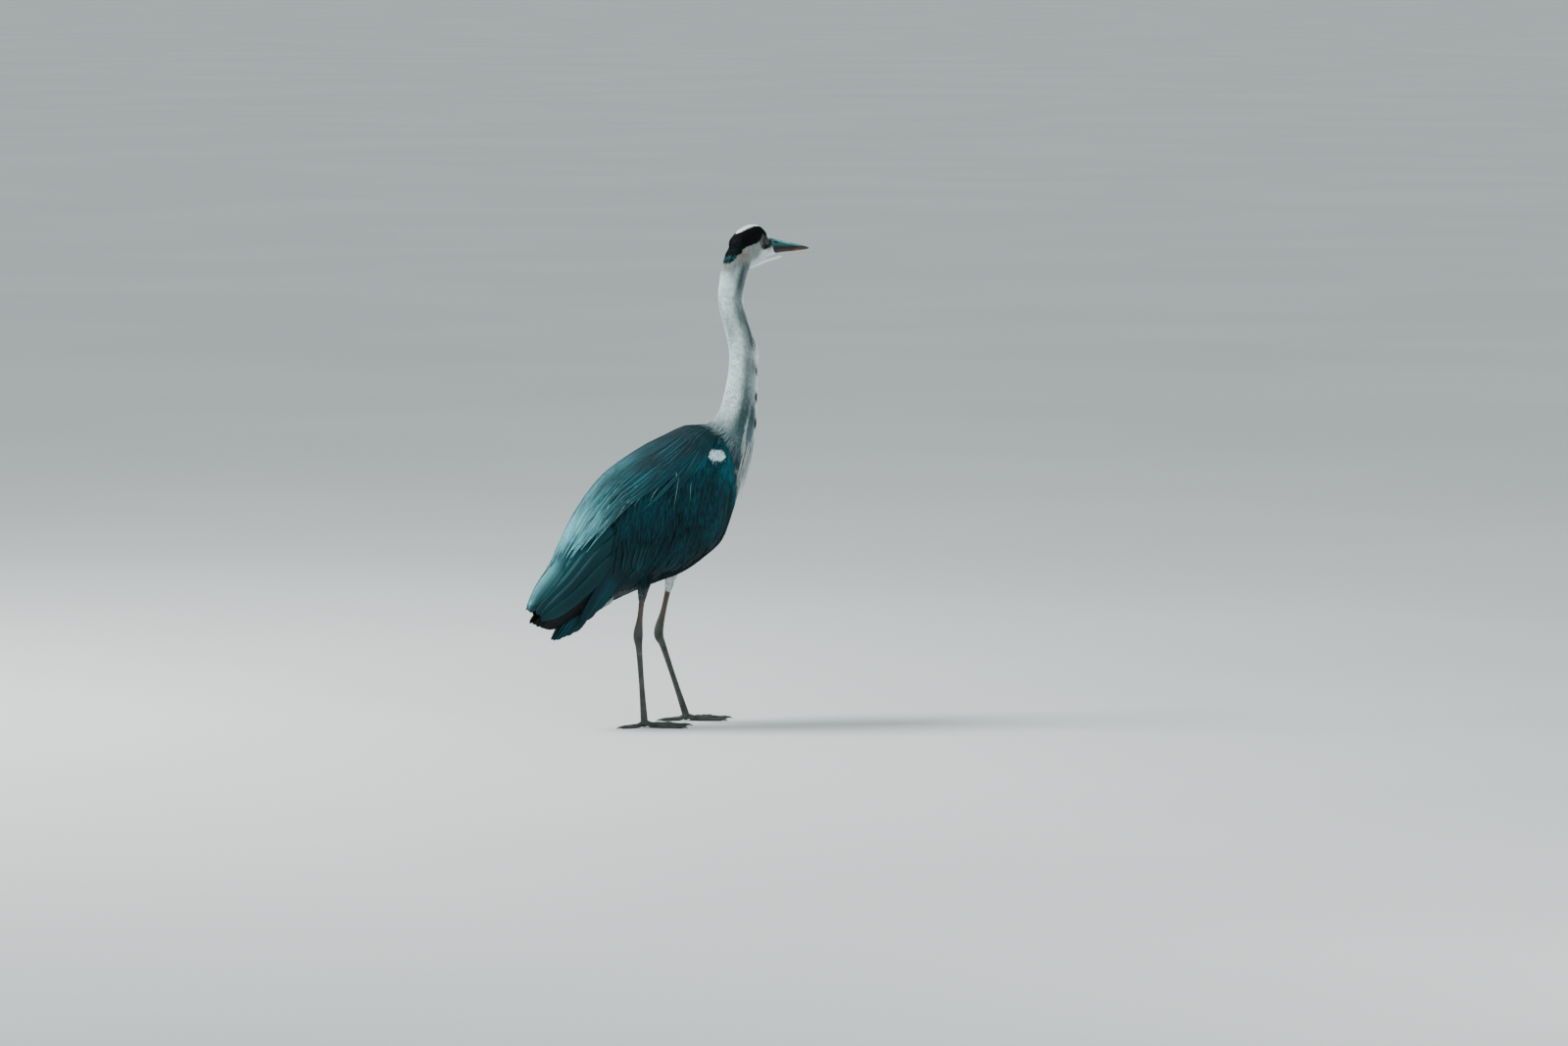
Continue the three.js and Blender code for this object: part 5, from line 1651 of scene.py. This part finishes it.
def scutes(plates, deep):
    """Overlapping plates along the front of a limb."""

    def lift(s, turn):
        saw = (s * plates) % 1.0
        return deep * (0.35 + 0.65 * saw) * ebb(saw, 0.88, 1.0) * fade(np.cos(turn), -0.1, 0.35)

    return lift


def knuckles(lift, bones):
    """The lift of the scutes, and a little swelling at each joint of a toe."""
    return lambda s, turn: lift(s, turn) + 0.35 * np.cos(2 * math.pi * s * bones) * ebb(s, 0.9, 1.0)


# %% Cast the legs


def pressed(piece):
    """No corner under the floor, and smooth."""
    points = corners(piece)
    points[:, 2] = np.maximum(points[:, 2], 0)
    move_corners(piece, points)
    return smooth(piece)


def make_leg(name, leg):
    parts = [cast(name, leg_form(leg), 190, 28, scutes(46, 0.4))]
    fresh()
    bpy.ops.mesh.primitive_uv_sphere_add(segments=32, ring_count=18, radius=PAD["radius"] * MM)
    pad = bpy.context.object
    move_corners(pad, corners(pad) + placed([*leg["foot"][:2], PAD["high"]]))
    parts.append(pad)
    for bones, toe in zip(TOE_BONES, TOES.values()):
        lift = knuckles(scutes(toe[1] / 3.4, 0.35), bones)
        parts.append(cast(name, toe_form(leg, *toe), 80, 24, lift))
    return pressed(join(name, parts))


def make_claws(name, leg):
    return pressed(join(name, [cast(name, claw_form(leg, *toe), 24, 16) for toe in TOES.values()]))


leg_skins = {name: make_leg("leg_skin_" + name, leg) for name, leg in LEGS.items()}
claws = {name: make_claws("claws_" + name, leg) for name, leg in LEGS.items()}
print("legs of", {name: len(piece.data.polygons) for name, piece in leg_skins.items()}, "faces")

# %% Leg and claw finishes
leg_finish = Finish("scaled_leg_skin")
cell_at = {"Vector": leg_finish.place, "Scale": 520.0}
cells = leg_finish.node("TexVoronoi", cell_at, feature="DISTANCE_TO_EDGE").outputs["Distance"]
grime = leg_finish.noise(60.0, 5.0)
leg_stops = [(0.25, paint(44, 48, 44)), (0.55, paint(66, 74, 68)), (0.8, paint(98, 98, 88))]
leg_tone = leg_finish.ramp(grime, leg_stops)
leg_tone = leg_finish.shaded(leg_tone, cells, [(0.0, 0.55), (0.12, 1.0)])
high = leg_finish.node("SeparateXYZ", {0: leg_finish.place}).outputs["Z"]
warm = leg_finish.node("MapRange", {"Value": high, "From Min": 0.16, "From Max": 0.21}).outputs[0]
leg_tone = leg_finish.blend("MIX", leg_finish.times(warm, 0.45), leg_tone, paint(98, 70, 60))
leg_rough = leg_finish.ramp(grime, [(0.3, 0.55), (0.8, 0.75)])
leg_finish.set({"Base Color": leg_tone, "Roughness": leg_rough, "Specular IOR Level": 0.25})
leg_finish.bump(leg_finish.ramp(cells, [(0.0, 0.0), (0.2, 1.0)]), 0.00025)
leg_finish.put_on(*leg_skins.values())

claw_finish = Finish("dark_claw_horn")
claw_grain = claw_finish.noise(700.0, 4.0)
claw_tone = claw_finish.ramp(claw_grain, [(0.3, paint(26, 23, 21)), (0.75, paint(66, 60, 54))])
claw_finish.set({"Base Color": claw_tone, "Roughness": 0.36})
claw_finish.bump(claw_grain, 0.00012)
claw_finish.put_on(*claws.values())
print("finishes so far:", ", ".join(each.name for each in bpy.data.materials))

# %% [markdown]
# ## Tying the pieces to the frame
# Each piece rides on the still body, the solids that the pieces cover are hidden, and the pieces
# are grouped under slot names.

# %% Ride, hide and group
FLESH = ["head", "neck_upper", "neck_middle", "neck_lower", "neck_base", "torso", "thigh_left", "thigh_right"]
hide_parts(*FLESH)
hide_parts("mantle")
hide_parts("tail")
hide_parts("bill_upper")
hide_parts("bill_lower")
for name in LEGS:
    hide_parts("wing_" + name)
    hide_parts("eye_" + name)
    toes = ["toe_" + name + "_" + each for each in TOES]
    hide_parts("shank_" + name, "tarsus_" + name, "foot_" + name, *toes)
    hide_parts(*["claw_" + name + "_" + each for each in TOES])
SLOTS = {
    "pale_feathers": [skin, *pale_coats, breast_plumes, chin, vent],
    "slate_feathers": [
        mantle_coat, wing_coat, lesser_coverts, lower_coverts, wing_bend, shoulder_plumes, upper_plumes,
        streaks, hanging, tail_feathers, crest, *wing_quills.values(),
    ],
    "bill_horn": [bill_upper],
    "bill_horn_under": [bill_lower],
    "eye": list(eyes.values()),
    "leg_skin": [*leg_skins.values(), *lids.values()],
    "claw_horn": list(claws.values()),
}
for slot_name, pieces in SLOTS.items():
    for piece in pieces:
        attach(piece, "root")
print("dressed with", sum(len(pieces) for pieces in SLOTS.values()), "pieces")

# %% [markdown]
# ## Stage, light and camera
# A plain pale floor, a broad soft light from above and behind the bird's left, a weaker fill, and
# a long lens low over the floor, from the bird's right and a little behind.

# %% Floor
fresh()
bpy.ops.mesh.primitive_plane_add(size=700, location=(0, 0, 0))
floor = bpy.context.object
floor.name = "floor"
floor_finish = Finish("pale_floor")
floor_stops = [(0.3, paint(212, 215, 215)), (0.7, paint(218, 221, 221))]
floor_tone = floor_finish.ramp(floor_finish.noise(0.6, 2.0), floor_stops)
floor_finish.set({"Base Color": floor_tone, "Roughness": 0.85})
floor_finish.put_on(floor)

# %% Lights
world = bpy.data.worlds.new("soft_sky")
bpy.context.scene.world = world
world.use_nodes = True
sky = world.node_tree.nodes["Background"]
sky.inputs["Color"].default_value = (0.80, 0.88, 0.9, 1)
sky.inputs["Strength"].default_value = 0.8
CHEST_HEIGHT = 0.45  # metres


def soft_light(name, at, size, power):
    """A round lamp that shines at the middle of the bird."""
    data = bpy.data.lights.new(name, "AREA")
    data.shape = "DISK"
    data.size = size
    data.energy = power
    lamp = bpy.data.objects.new(name, data)
    bpy.context.scene.collection.objects.link(lamp)
    lamp.location = at
    lamp.rotation_euler = (Vector((0, 0, CHEST_HEIGHT)) - Vector(at)).to_track_quat("-Z", "Y").to_euler()


soft_light("key", (-2.4, 0.9, 3.2), 1.4, 230)
soft_light("fill", (0.6, -3.8, 1.8), 2.4, 45)
print("lamps and their watts:", {lamp.name: lamp.energy for lamp in bpy.data.lights})

# %% Camera
MM_PER_PIXEL = 1.72
LENS_AWAY = 12.0  # metres from the bird
SENSOR = 36
PICTURE = (1600, 1067)
DRAWING_ORIGIN = (681.7, 738.5)  # where the drawing's origin falls in the picture
azimuth, elevation = math.radians(-20), math.radians(5)
level_back = np.array([math.sin(azimuth), -math.cos(azimuth), 0])
back = level_back * math.cos(elevation) + [0, 0, math.sin(elevation)]
right = np.array([math.cos(azimuth), math.sin(azimuth), 0])
upward = np.cross(back, right)
aim = right * (PICTURE[0] / 2 - DRAWING_ORIGIN[0]) + upward * (DRAWING_ORIGIN[1] - PICTURE[1] / 2)
camera_data = bpy.data.cameras.new("camera")
camera_data.sensor_width = SENSOR
camera_data.lens = LENS_AWAY / (MM_PER_PIXEL * MM) * SENSOR / PICTURE[0]
camera_data.clip_end = 1000  # past the far edge of the floor
camera = bpy.data.objects.new("camera", camera_data)
bpy.context.scene.collection.objects.link(camera)
camera.location = Vector(placed(aim * MM_PER_PIXEL) + back * LENS_AWAY)
camera.rotation_euler = Vector(back).to_track_quat("Z", "Y").to_euler()
bpy.context.scene.camera = camera
print("the camera's lens is", round(camera_data.lens, 1), "mm and its height", round(camera.location.z, 3))
